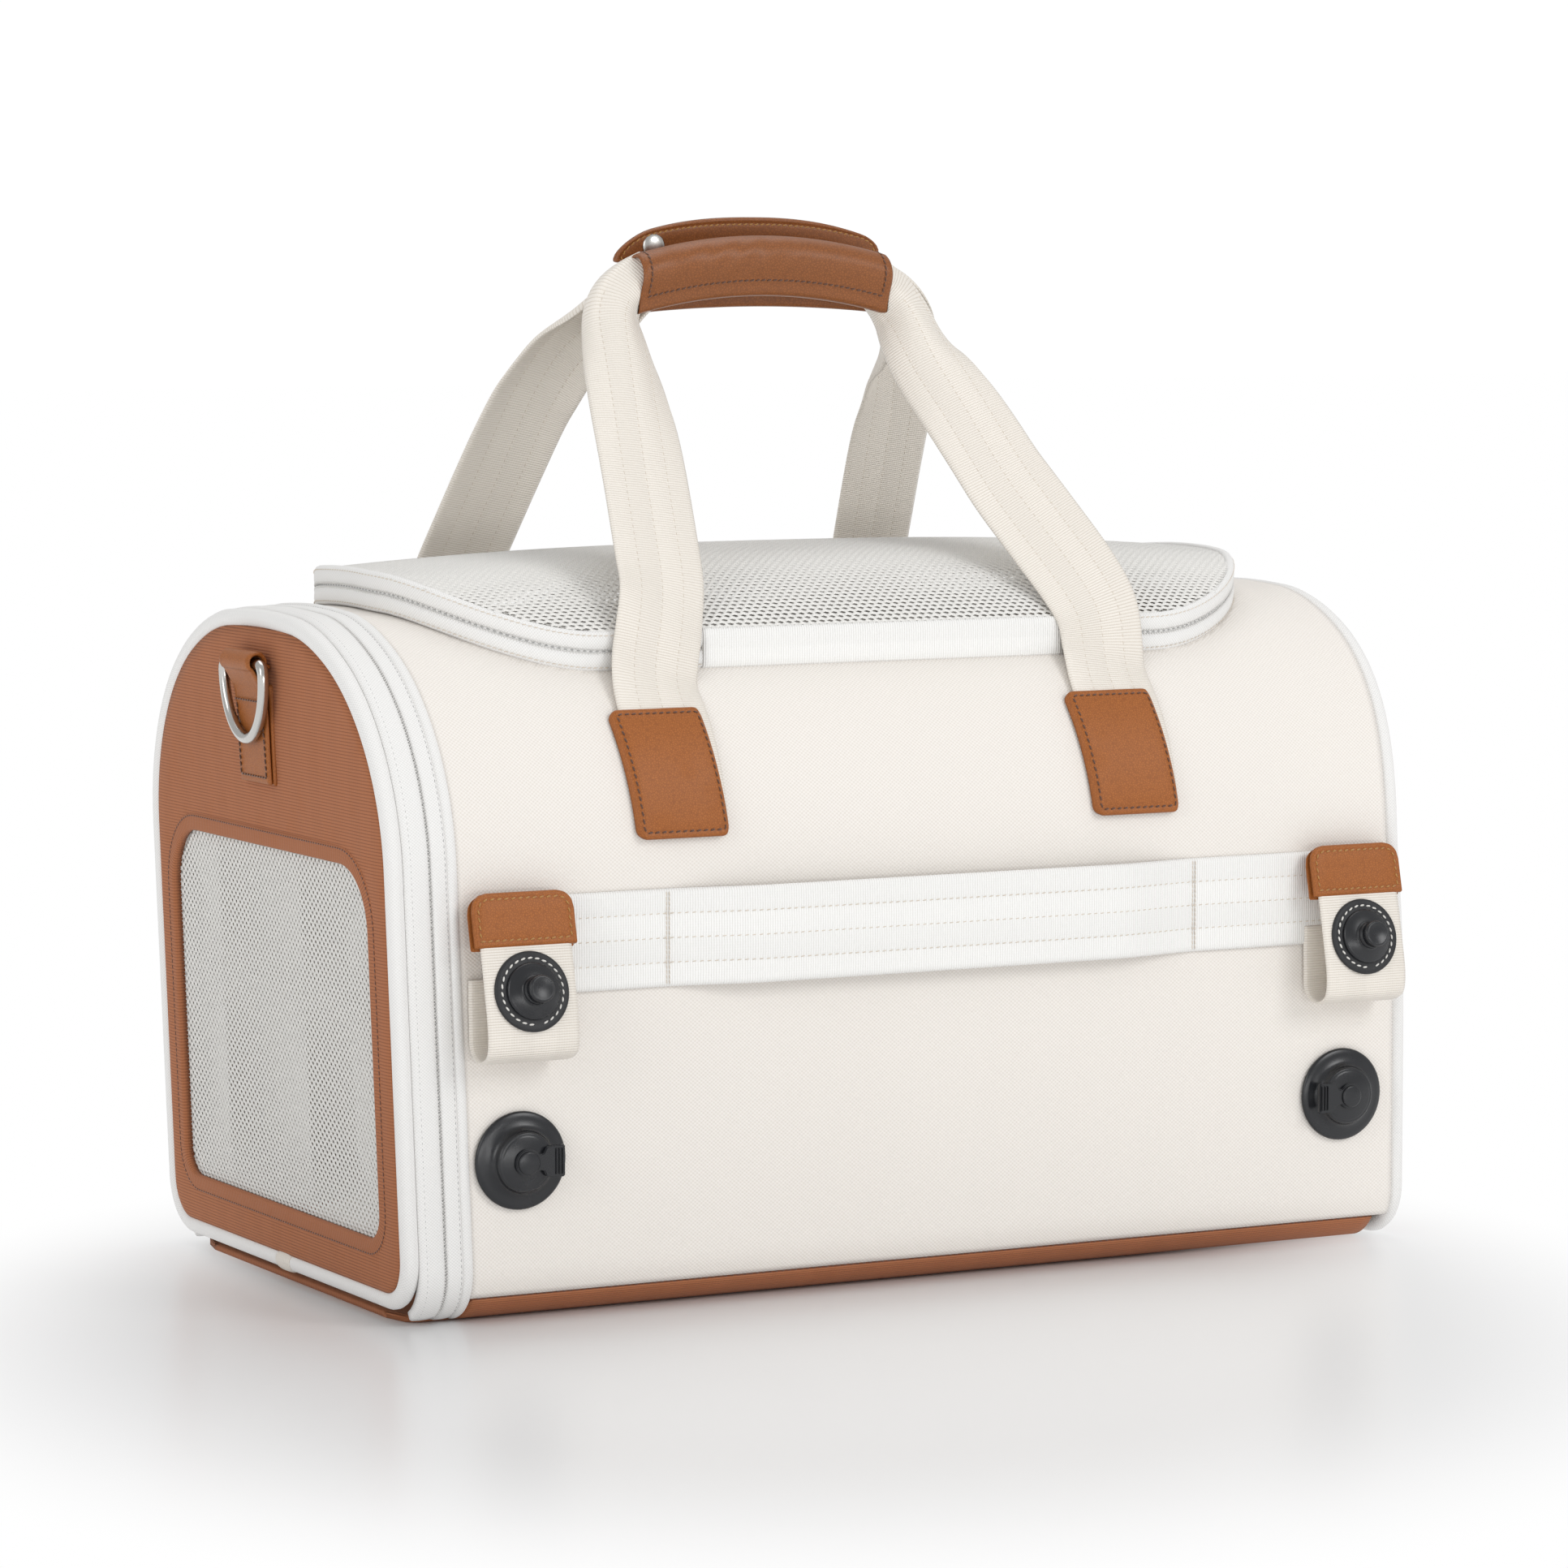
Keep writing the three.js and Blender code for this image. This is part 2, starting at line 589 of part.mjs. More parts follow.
/** The layer against the wall and the fold at its foot, as a (y, z) outline. */
function loopBackShape() {
  const half = LOOP.thick / 2;
  const centre = (LOOP.front + LOOP.back) / 2;
  const radius = (LOOP.back - LOOP.front) / 2;
  const top = BAND.low - GAP;
  const outside = arc(centre, LOOP.foldZ, radius + half, Math.PI, 2 * Math.PI, 8);
  const inside = arc(centre, LOOP.foldZ, radius - half, 2 * Math.PI, Math.PI, 8);
  const rise = [new THREE.Vector2(LOOP.back + half, top), new THREE.Vector2(LOOP.back - half, top)];
  return new THREE.Shape([...outside, ...rise, ...inside]);
}

function lathe(points) {
  const profile = points.map(([r, h]) => new THREE.Vector2(r, h));
  return new THREE.LatheGeometry(profile, 20).rotateX(Math.PI);
}

// Radius and height of each turned outline, from the foot up.
const studBody = [[0, 0], [11, 0], [11, 1.6], [9.6, 2.6], [5.4, 2.8], [4.6, 5],
  [4.9, 7], [4.9, 9], [4.2, 9.8], [0, 9.8]];
const socketBody = [[0, 0], [19, 0], [19, 1.2], [17.6, 1.8], [13, 2.6], [11.2, 4.4], [10.4, SOCKET.hub],
  [SOCKET.hole, SOCKET.hub], [SOCKET.hole, 1.6], [0, 1.6]];

/** Release slide: a ring over the hub and a finger grip that points to the bag's middle. */
function releaseTab(toward) {
  const base = SOCKET.hub + GAP;
  const ring = new THREE.CylinderGeometry(8, 8, 2, 20).translate(0, -base - 1, 0);
  const arm = new THREE.BoxGeometry(9, 2, 7.6).translate(toward * 10, -base - 1, 0);
  const fingerGrip = new THREE.BoxGeometry(3, 4, 12).translate(toward * 14, -base - 1.2, 0);
  const clear = SOCKET.hole + 0.3;
  const eye = new THREE.CylinderGeometry(clear, clear, 8, 20).translate(0, -base - 1, 0);
  return subtract(unite(ring, arm, fingerGrip), eye);
}

for (const side of ['left', 'right']) {
  const x = LOOP_X[side];
  const half = LOOP.width / 2;
  add(`loop_back_${side}`, alongX(loopBackShape(), x - half, x + half), webbing);

  const layer = new THREE.Group();
  layer.position.set(x, LOOP.front, LOOP.foldZ + GAP);
  layer.rotation.x = -Math.atan2(LOOP.topY - LOOP.front, LOOP.topZ - LOOP.foldZ);
  bag.add(layer);
  const length = LOOP_TAB.high - 2;
  const front = new THREE.BoxGeometry(LOOP.width, LOOP.thick, length).translate(0, 0, length / 2);
  add(`loop_front_${side}`, front, webbing, layer);

  const tabHalf = LOOP_TAB.width / 2;
  const tabShape = roundedRect(-tabHalf, tabHalf, LOOP_TAB.low, LOOP_TAB.high, LOOP_TAB.corner, 0.5);
  const tabBody = alongY(tabShape, -LOOP_TAB.thick / 2, LOOP_TAB.thick / 2);
  const pocket = new THREE.BoxGeometry(LOOP.width + 0.8, LOOP.thick + 0.7, 40);
  pocket.translate(0, 0, length + 0.3 - 20);
  add(`loop_tab_${side}`, subtract(tabBody, pocket), leather, layer);

  const patch = new THREE.CylinderGeometry(STUD.patchR, STUD.patchR, STUD.patchThick, 24);
  const patchY = -LOOP.thick / 2 - GAP - STUD.patchThick / 2;
  add(`stud_patch_${side}`, patch.translate(0, patchY, STUD.along), blackLeather, layer);
  const studY = patchY - STUD.patchThick / 2 - 0.3;
  add(`stud_${side}`, lathe(studBody).translate(0, studY, STUD.along), blackPlastic, layer);

  const socket = new THREE.Group();
  socket.position.set(SOCKET_X[side], -HALF_WIDTH - GAP, SOCKET.z);
  bag.add(socket);
  add(`socket_${side}`, lathe(socketBody), blackPlastic, socket);
  add(`release_tab_${side}`, releaseTab(side === 'left' ? 1 : -1), blackPlastic, socket);
}

// ---- zip sliders --------------------------------------------------------------------

/** A slider lying on a zip that runs along x, with a bridge for its pull; it faces +y. */
function sliderBody() {
  const { long, wide, high } = SLIDER;
  const plate = alongY(roundedRect(-long / 2, long / 2, -wide / 2, wide / 2, 3, 3), 0, PULL_Y - 1.8);
  const bridge = new THREE.BoxGeometry(2.4, high - 1, 2.4).translate(0, high / 2 + 0.5, 0);
  return unite(plate, bridge);
}

/** A pull whose fork straddles the bridge; toward is +1 or -1 along x. */
function pullTab(toward) {
  const { long, wide, thick } = PULL;
  const leaf = new THREE.BoxGeometry(long + 1.2, thick, wide).translate(toward * (long - 1.2) / 2, PULL_Y, 0);
  const slot = new THREE.BoxGeometry(3.6, thick + 1, 3.2).translate(toward * 0.3, PULL_Y, 0);
  return subtract(leaf, slot);
}

const SLIDER_Y = LID.halfWidth + GAP;
const SLIDER_Z = roofZ(LID.halfWidth) + LID_BAND.split;
for (const [side, toward] of [['left', -1], ['right', 1]]) {
  const slider = new THREE.Group();
  slider.position.set(LID_SLIDER_X[side], SLIDER_Y, SLIDER_Z);
  bag.add(slider);
  add(`lid_slider_${side}`, sliderBody(), nickel, slider);
  add(`lid_pull_${side}`, pullTab(toward), leather, slider);
}

const doorSlider = new THREE.Group();
doorSlider.position.set(DOOR_TAPE_X[1] + 0.2, HALF_WIDTH + GAP, DOOR_SLIDER_Z - DOOR_Z);
doorSlider.rotation.y = Math.PI / 2;
doorFrame.add(doorSlider);
add('door_slider', sliderBody(), nickel, doorSlider);
add('door_pull', pullTab(1), leather, doorSlider);

export default bag;
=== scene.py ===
# %% [markdown]
# # A soft-sided pet carrier bag
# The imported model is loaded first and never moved: it gives every size and place, and each
# visible piece below is built around it. Lengths are in metres, the ground is z = 0, and the
# zipped door is at the -x end.

# %% Load the frame
import json
import math

import bpy
import bmesh
import numpy as np
from mathutils import Matrix, Vector, noise


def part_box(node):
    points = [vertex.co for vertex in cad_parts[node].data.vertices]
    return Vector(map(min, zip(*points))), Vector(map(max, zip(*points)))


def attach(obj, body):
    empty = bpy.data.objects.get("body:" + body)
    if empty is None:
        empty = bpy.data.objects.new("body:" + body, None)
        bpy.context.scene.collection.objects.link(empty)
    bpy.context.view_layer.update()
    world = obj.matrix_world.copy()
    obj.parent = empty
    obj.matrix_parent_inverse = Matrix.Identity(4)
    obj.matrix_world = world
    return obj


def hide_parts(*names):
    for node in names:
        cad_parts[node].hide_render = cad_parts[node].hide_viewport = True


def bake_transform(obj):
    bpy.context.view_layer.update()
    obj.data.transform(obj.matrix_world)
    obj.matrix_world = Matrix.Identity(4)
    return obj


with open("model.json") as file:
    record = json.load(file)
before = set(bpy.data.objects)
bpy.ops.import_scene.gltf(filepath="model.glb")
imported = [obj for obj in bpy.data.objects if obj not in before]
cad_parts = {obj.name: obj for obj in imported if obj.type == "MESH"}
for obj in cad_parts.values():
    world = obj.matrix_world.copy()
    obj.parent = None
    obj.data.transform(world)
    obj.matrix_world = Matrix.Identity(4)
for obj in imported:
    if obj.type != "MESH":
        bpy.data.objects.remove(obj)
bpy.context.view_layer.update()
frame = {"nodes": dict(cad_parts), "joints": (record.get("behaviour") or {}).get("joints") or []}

MM = 0.001

# %% [markdown]
# ## Driving sizes
# A sewn bag is drafted from a few numbers: half its width, its height and the radius of its
# shoulders and lower corners. The first two are read from the frame's shell, the radii are the
# same as in the part's own drawing.

# %% Sizes of the bag
shell_low, shell_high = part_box("shell_front")
HALF = -shell_low.y
ROOF_Z = shell_high.z
LIP_Z = shell_low.z
SHOULDER = 90 * MM
CORNER = 22 * MM
FLAT = HALF - SHOULDER
SPRING_Z = ROOF_Z - SHOULDER
SHELL_END = shell_high.x
WALL = 3.6 * MM
CROWN = 3.5 * MM
CROWN_REACH = 72 * MM

door_joint = next(j for j in frame["joints"] if j["name"] == "door_hinge")
DOOR_PIVOT = Vector((-222 * MM, 0, 5.5 * MM))
LEAN = math.radians(2.2)
BEAD = 7.3 * MM
print("half width", HALF, "roof", ROOF_Z, "door joint", door_joint["name"])

# %% [markdown]
# ## Camera, floor and light
# A product picture uses a long lens, a white sweep and large soft boxes. The camera stands to
# the left of the bag and a little above it. The floor turns into plain white light all round the
# bag, so there is no horizon line, and near the bag it is slightly glossy and takes its shadow.

# %% Camera
CAMERA_AT = Vector((-1.1153, -2.0981, 0.4089))
LOOK_AT = Vector((0.0058, 0.0166, 0.1878))
camera_data = bpy.data.cameras.new("camera")
camera_data.lens = 132.9
camera_data.sensor_width = 36
camera = bpy.data.objects.new("camera", camera_data)
camera.location = CAMERA_AT
camera.rotation_euler = (LOOK_AT - CAMERA_AT).to_track_quat("-Z", "Y").to_euler()
bpy.context.scene.collection.objects.link(camera)
bpy.context.scene.camera = camera
bpy.context.scene.view_settings.view_transform = "Standard"

# %% Small helpers for shader nodes
def put(tree, kind, inputs=None, **settings):
    """Adds a node, sets its properties and fills its inputs with values or links."""
    node = tree.nodes.new(kind)
    for key, value in settings.items():
        setattr(node, key, value)
    for key, value in (inputs or {}).items():
        if isinstance(value, bpy.types.NodeSocket):
            tree.links.new(value, node.inputs[key])
        else:
            node.inputs[key].default_value = value
    return node


def calc(tree, operation, a, b=0.0, c=0.0):
    return put(tree, "ShaderNodeMath", {0: a, 1: b, 2: c}, operation=operation).outputs[0]


def mixed(tree, factor, a, b):
    """A colour between a and b."""
    node = put(tree, "ShaderNodeMix", {"Factor": factor}, data_type="RGBA")
    for key, value in ((6, a), (7, b)):
        if isinstance(value, bpy.types.NodeSocket):
            tree.links.new(value, node.inputs[key])
        else:
            node.inputs[key].default_value = (*value, 1)
    return node.outputs[2]


def new_material(name):
    material = bpy.data.materials.new(name)
    material.use_nodes = True
    tree = material.node_tree
    tree.nodes.clear()
    shader = put(tree, "ShaderNodeBsdfPrincipled")
    put(tree, "ShaderNodeOutputMaterial", {"Surface": shader.outputs[0]})
    return material, tree, shader


# %% Floor, backdrop light and lamps
FLOOR_SIZE = 14.0
POOL_DEPTH, POOL_SIZE = -0.2, (0.32, 0.38)
FADE_FROM, FADE_TO = 0.6, 1.2

floor_mesh = bpy.data.meshes.new("floor")
corners = [(sx * FLOOR_SIZE, sy * FLOOR_SIZE, 0) for sx, sy in ((-1, -1), (1, -1), (1, 1), (-1, 1))]
floor_mesh.from_pydata(corners, [], [(0, 1, 2, 3)])
floor = bpy.data.objects.new("floor", floor_mesh)
bpy.context.scene.collection.objects.link(floor)

floor_material, tree, shader = new_material("studio_floor")
place = put(tree, "ShaderNodeTexCoord").outputs["Object"]
axes = put(tree, "ShaderNodeSeparateXYZ", {0: place})
view = (LOOK_AT - CAMERA_AT).xy.normalized()
across = calc(tree, "MULTIPLY_ADD", axes.outputs["X"], view.y, calc(tree, "MULTIPLY", axes.outputs["Y"],
                                                                    -view.x))
deep = calc(tree, "MULTIPLY_ADD", axes.outputs["X"], view.x, calc(tree, "MULTIPLY", axes.outputs["Y"],
                                                                  view.y))
across = calc(tree, "DIVIDE", across, POOL_SIZE[0])
deep = calc(tree, "DIVIDE", calc(tree, "SUBTRACT", deep, POOL_DEPTH), POOL_SIZE[1])
away = calc(tree, "SQRT", calc(tree, "MULTIPLY_ADD", across, across, calc(tree, "MULTIPLY", deep, deep)))
fade = put(tree, "ShaderNodeMapRange", {0: away, 1: FADE_FROM, 2: FADE_TO},
           interpolation_type="SMOOTHSTEP").outputs[0]
blotch = put(tree, "ShaderNodeTexNoise", {"Vector": place, "Scale": 1.5, "Detail": 2.0}).outputs[0]
tree.links.new(mixed(tree, blotch, (0.79, 0.79, 0.80), (0.82, 0.82, 0.82)), shader.inputs["Base Color"])
shader.inputs["Roughness"].default_value = 0.3
shader.inputs["Specular IOR Level"].default_value = 0.45
white = put(tree, "ShaderNodeEmission", {"Color": (1, 1, 1, 1), "Strength": 1.0})
both = put(tree, "ShaderNodeMixShader", {0: fade, 1: shader.outputs[0], 2: white.outputs[0]})
output = next(n for n in tree.nodes if n.type == "OUTPUT_MATERIAL")
tree.links.new(both.outputs[0], output.inputs["Surface"])
floor_mesh.materials.append(floor_material)

world = bpy.data.worlds.new("studio")
world.use_nodes = True
tree = world.node_tree
tree.nodes.clear()
seen = put(tree, "ShaderNodeLightPath").outputs["Is Camera Ray"]
paper = put(tree, "ShaderNodeBackground", {"Color": (1, 1, 1, 1), "Strength": calc(tree, "MULTIPLY_ADD",
                                                                                   seen, 0.42, 0.6)})
put(tree, "ShaderNodeOutputWorld", {"Surface": paper.outputs[0]})
bpy.context.scene.world = world


def soft_box(name, place, aim, size, watts):
    data = bpy.data.lights.new(name, "AREA")
    data.shape = "RECTANGLE"
    data.size, data.size_y = size
    data.energy = watts
    lamp = bpy.data.objects.new(name, data)
    lamp.location = place
    lamp.rotation_euler = (Vector(aim) - Vector(place)).to_track_quat("-Z", "Y").to_euler()
    bpy.context.scene.collection.objects.link(lamp)
    return lamp


soft_box("key", (0.9, -1.9, 1.3), (0, 0, 0.15), (0.9, 0.9), 12.5)
soft_box("side", (-2.3, -0.9, 1.0), (-0.2, 0, 0.15), (1.0, 1.4), 11)
soft_box("top", (0.2, 0.5, 2.2), (0, 0, 0.2), (1.6, 1.6), 12)
soft_box("fill", (-0.3, -1.8, 0.12), (0, 0, 0.3), (1.4, 0.2), 4)
print("stage ready")

# %% [markdown]
# ## Shared surface effects
# Cloth, webbing and leather repeat all over the bag, so each effect is one node group. A group
# gives only heights, masks and tints, and every material feeds them to its own shader.
# * `weave`: threads going over and under each other. Two sines make it, which is cheaper than a
#   picture and stays sharp at any distance.
# * `ribs`: the raised lines across a webbing strap or a ribbed cloth.
# * `grain`: the small cells and creases of leather, and with other numbers a moulded texture.
# * `patches`: slow changes of tone, because no dyed cloth is one flat colour.

# %% Node groups
def new_group(name, inputs, outputs):
    group = bpy.data.node_groups.new(name, "ShaderNodeTree")
    for label, kind, value in inputs:
        socket = group.interface.new_socket(label, in_out="INPUT", socket_type="NodeSocket" + kind)
        if value is not None:
            socket.default_value = value
    for label in outputs:
        group.interface.new_socket(label, in_out="OUTPUT", socket_type="NodeSocketFloat")
    return group, put(group, "NodeGroupInput").outputs


def finish_group(group, values):
    put(group, "NodeGroupOutput", dict(enumerate(values)))
    return group


def make_weave():
    group, given = new_group("weave", [("Cloth", "Vector", None), ("Across", "Float", 0.001),
                                       ("Along", "Float", 0.001)], ["Height", "Thread"])
    axes = put(group, "ShaderNodeSeparateXYZ", {0: given["Cloth"]}).outputs
    wobble = put(group, "ShaderNodeTexNoise", {"Vector": given["Cloth"], "Scale": 900.0,
                                               "Detail": 1.0}).outputs[0]
    shift = calc(group, "MULTIPLY", wobble, 0.25)
    across = calc(group, "ADD", calc(group, "DIVIDE", axes["X"], given["Across"]), shift)
    along = calc(group, "DIVIDE", axes["Y"], given["Along"])
    warp = calc(group, "SINE", calc(group, "MULTIPLY", across, math.pi))
    weft = calc(group, "SINE", calc(group, "MULTIPLY", along, math.pi))
    over = calc(group, "MULTIPLY", warp, weft)
    height = calc(group, "MULTIPLY_ADD", over, 0.5, 0.5)
    thread = calc(group, "ABSOLUTE", weft)
    return finish_group(group, [height, thread])


def make_ribs():
    group, given = new_group("ribs", [("Cloth", "Vector", None), ("Pitch", "Float", 0.001)],
                             ["Height", "Groove"])
    axes = put(group, "ShaderNodeSeparateXYZ", {0: given["Cloth"]}).outputs
    wave = calc(group, "SINE", calc(group, "MULTIPLY", calc(group, "DIVIDE", axes["Y"], given["Pitch"]),
                                    math.pi))
    fine = calc(group, "SINE", calc(group, "MULTIPLY", calc(group, "DIVIDE", axes["X"], given["Pitch"]),
                                    math.tau))
    height = calc(group, "ADD", calc(group, "ABSOLUTE", wave), calc(group, "MULTIPLY", fine, 0.12))
    groove = calc(group, "POWER", calc(group, "SUBTRACT", 1.0, calc(group, "ABSOLUTE", wave)), 3.0)
    return finish_group(group, [height, groove])


def make_grain():
    group, given = new_group("grain", [("Place", "Vector", None), ("Scale", "Float", 900.0)],
                             ["Height", "Crease"])
    cells = put(group, "ShaderNodeTexVoronoi", {"Vector": given["Place"], "Scale": given["Scale"]},
                feature="DISTANCE_TO_EDGE").outputs[0]
    valley = put(group, "ShaderNodeMapRange", {0: cells, 1: 0.0, 2: 0.25},
                 interpolation_type="SMOOTHSTEP").outputs[0]
    soft = put(group, "ShaderNodeTexNoise", {"Vector": given["Place"], "Scale": 160.0,
                                             "Detail": 3.0}).outputs[0]
    height = calc(group, "ADD", calc(group, "MULTIPLY", valley, 0.35), calc(group, "MULTIPLY", soft, 0.65))
    return finish_group(group, [height, calc(group, "SUBTRACT", 1.0, valley)])


def make_patches():
    group, given = new_group("patches", [("Place", "Vector", None), ("Scale", "Float", 12.0)],
                             ["Tone", "Wear"])
    tone = put(group, "ShaderNodeTexNoise", {"Vector": given["Place"], "Scale": given["Scale"],
                                             "Detail": 3.0}).outputs[0]
    spots = put(group, "ShaderNodeTexNoise", {"Vector": given["Place"], "Scale": 70.0,
                                              "Detail": 4.0}).outputs[0]
    wear = put(group, "ShaderNodeMapRange", {0: spots, 1: 0.52, 2: 0.75}).outputs[0]
    return finish_group(group, [tone, wear])


WEAVE, RIBS, GRAIN, PATCHES = make_weave(), make_ribs(), make_grain(), make_patches()
print("node groups", [g.name for g in (WEAVE, RIBS, GRAIN, PATCHES)])


# %% Materials of cloth, webbing and leather
def use(tree, group, inputs):
    node = put(tree, "ShaderNodeGroup", node_tree=group)
    for key, value in inputs.items():
        if isinstance(value, bpy.types.NodeSocket):
            tree.links.new(value, node.inputs[key])
        else:
            node.inputs[key].default_value = value
    return node.outputs


def bump(tree, shader, height, depth, strength=1.0):
    node = put(tree, "ShaderNodeBump", {"Height": height, "Distance": depth, "Strength": strength})
    tree.links.new(node.outputs[0], shader.inputs["Normal"])


def cloth_uv(tree):
    return put(tree, "ShaderNodeUVMap", uv_map="cloth").outputs[0]


def object_place(tree):
    return put(tree, "ShaderNodeTexCoord").outputs["Object"]


def woven(name, light, dark, across, along, rough, sheen, depth=0.12 * MM):
    """A plain-woven cloth on the piece's own cloth map."""
    material, tree, shader = new_material(name)
    threads = use(tree, WEAVE, {"Cloth": cloth_uv(tree), "Across": across, "Along": along})
    tone = use(tree, PATCHES, {"Place": object_place(tree), "Scale": 9.0})
    lit = mixed(tree, tone["Tone"], [c * 0.96 for c in light], light)
    # The low points of the weave are painted towards the dark colour: painted shade between the threads.
    tree.links.new(mixed(tree, calc(tree, "POWER", threads["Height"], 0.7), dark, lit),
                   shader.inputs["Base Color"])
    wobble = calc(tree, "MULTIPLY_ADD", tone["Wear"], 0.08, rough)
    tree.links.new(wobble, shader.inputs["Roughness"])
    shader.inputs["Sheen Weight"].default_value = sheen
    shader.inputs["Sheen Roughness"].default_value = 0.4
    bump(tree, shader, threads["Height"], depth)
    return material


def webbing(name, light, dark, pitch, rough, sheen, striped=1.0, stripe=9.5 * MM):
    """A satin strap with raised lines across it, and with smoother stripes along it if striped."""
    material, tree, shader = new_material(name)
    lines = use(tree, RIBS, {"Cloth": cloth_uv(tree), "Pitch": pitch})
    tone = use(tree, PATCHES, {"Place": object_place(tree), "Scale": 14.0})
    lit = mixed(tree, tone["Tone"], [c * 0.95 for c in light], light)
    across = put(tree, "ShaderNodeSeparateXYZ", {0: cloth_uv(tree)}).outputs["X"]
    wave = calc(tree, "SINE", calc(tree, "MULTIPLY", across, math.pi / stripe))
    satin = put(tree, "ShaderNodeMapRange", {0: wave, 1: -0.25, 2: 0.25},
                interpolation_type="SMOOTHSTEP").outputs[0]
    # The smoother satin stripes are painted a little lighter than the cloth between them: painted sheen.
    sheen_striped = mixed(tree, satin, [c * (1 - 0.05 * striped) for c in light], lit)
    # The grooves between the ribs are painted darker: painted shade in the grooves.
    tree.links.new(mixed(tree, lines["Groove"], sheen_striped, dark), shader.inputs["Base Color"])
    rougher = calc(tree, "MULTIPLY_ADD", tone["Wear"], 0.1, rough + 0.12 * striped)
    tree.links.new(calc(tree, "MULTIPLY_ADD", satin, -0.12 * striped, rougher), shader.inputs["Roughness"])
    shader.inputs["Sheen Weight"].default_value = sheen
    shader.inputs["Sheen Roughness"].default_value = 0.3
    shader.inputs["Anisotropic"].default_value = 0.35
    bump(tree, shader, lines["Height"], 0.16 * MM)
    return material


def grained(name, light, dark, scale, rough, depth, coat=0.0, metallic=0.0, shine=0.5):
    """Leather, or a moulded or cast surface, depending on the size and depth of its cells."""
    material, tree, shader = new_material(name)
    place = object_place(tree)
    cells = use(tree, GRAIN, {"Place": place, "Scale": scale})
    tone = use(tree, PATCHES, {"Place": place, "Scale": 22.0})
    lit = mixed(tree, tone["Tone"], [c * 0.86 for c in light], light)
    # The creases between the grain's cells are painted darker: painted shade in the creases.
    crease_shade = mixed(tree, calc(tree, "MULTIPLY", cells["Crease"], 0.45), lit, dark)
    tree.links.new(crease_shade, shader.inputs["Base Color"])
    tree.links.new(calc(tree, "MULTIPLY_ADD", tone["Wear"], 0.14, rough), shader.inputs["Roughness"])
    shader.inputs["Metallic"].default_value = metallic
    shader.inputs["Coat Weight"].default_value = coat
    shader.inputs["Coat Roughness"].default_value = 0.35
    shader.inputs["Specular IOR Level"].default_value = shine
    bump(tree, shader, cells["Height"], depth)
    return material


CREAM = woven("cream_cloth", (0.90, 0.862, 0.82), (0.73, 0.68, 0.62), 0.9 * MM, 0.75 * MM, 0.78, 0.15)
LINING = woven("lining_cloth", (0.62, 0.58, 0.52), (0.45, 0.41, 0.36), 0.7 * MM, 0.7 * MM, 0.85, 0.1)
TAPE = woven("zip_tape", (0.89, 0.885, 0.875), (0.70, 0.69, 0.67), 0.7 * MM, 0.6 * MM, 0.7, 0.15, 0.08 * MM)
TAN = webbing("tan_ribbed_cloth", (0.40, 0.145, 0.06), (0.19, 0.06, 0.023), 1.25 * MM, 0.82, 0.05,
              striped=0.0)
WEB = webbing("cream_webbing", (0.86, 0.81, 0.74), (0.64, 0.57, 0.48), 1.05 * MM, 0.32, 0.1)
# A lighter, whiter copy of the cream webbing for the band and the hinge tape: its extra brightness is painted
# satin highlight.
HIGHLIT_WEB = webbing("cream_webbing_painted_highlight", (0.93, 0.925, 0.91), (0.74, 0.72, 0.68), 1.05 * MM, 0.3, 0.12)
NET = woven("spacer_net", (0.90, 0.885, 0.855), (0.74, 0.73, 0.70), 0.45 * MM, 0.45 * MM, 0.7, 0.2, 0.05 * MM)
LEATHER = grained("brown_leather", (0.40, 0.128, 0.026), (0.16, 0.042, 0.008), 1100.0, 0.46, 0.04 * MM,
                  shine=0.32)
GRIP_LEATHER = grained("grip_leather", (0.30, 0.098, 0.023), (0.11, 0.032, 0.007), 900.0, 0.42, 0.05 * MM,
                       0.05, shine=0.4)
BLACK_LEATHER = grained("black_leather", (0.016, 0.017, 0.02), (0.005, 0.005, 0.006), 1000.0, 0.5, 0.06 * MM)
BLACK_PLASTIC = grained("black_plastic", (0.011, 0.012, 0.015), (0.006, 0.007, 0.009), 2600.0, 0.26,
                        0.012 * MM, shine=0.55)
NICKEL = grained("satin_nickel", (0.62, 0.61, 0.585), (0.58, 0.57, 0.55), 700.0, 0.2, 0.001 * MM,
                 metallic=1.0)
BOARD = grained("base_board", (0.045, 0.04, 0.037), (0.02, 0.018, 0.016), 500.0, 0.7, 0.05 * MM)
FLEECE = grained("fleece", (0.74, 0.69, 0.61), (0.55, 0.5, 0.42), 420.0, 0.95, 0.5 * MM)
FOAM = grained("foam", (0.66, 0.64, 0.58), (0.5, 0.48, 0.44), 1500.0, 0.95, 0.1 * MM)


def thread(name, light, dark):
    """Twisted sewing thread."""
    material, tree, shader = new_material(name)
    twist = put(tree, "ShaderNodeTexNoise", {"Vector": object_place(tree), "Scale": 1500.0,
                                             "Detail": 2.0}).outputs[0]
    tree.links.new(mixed(tree, twist, dark, light), shader.inputs["Base Color"])
    tree.links.new(calc(tree, "MULTIPLY_ADD", twist, 0.2, 0.45), shader.inputs["Roughness"])
    shader.inputs["Sheen Weight"].default_value = 0.3
    bump(tree, shader, twist, 0.05 * MM)
    return material


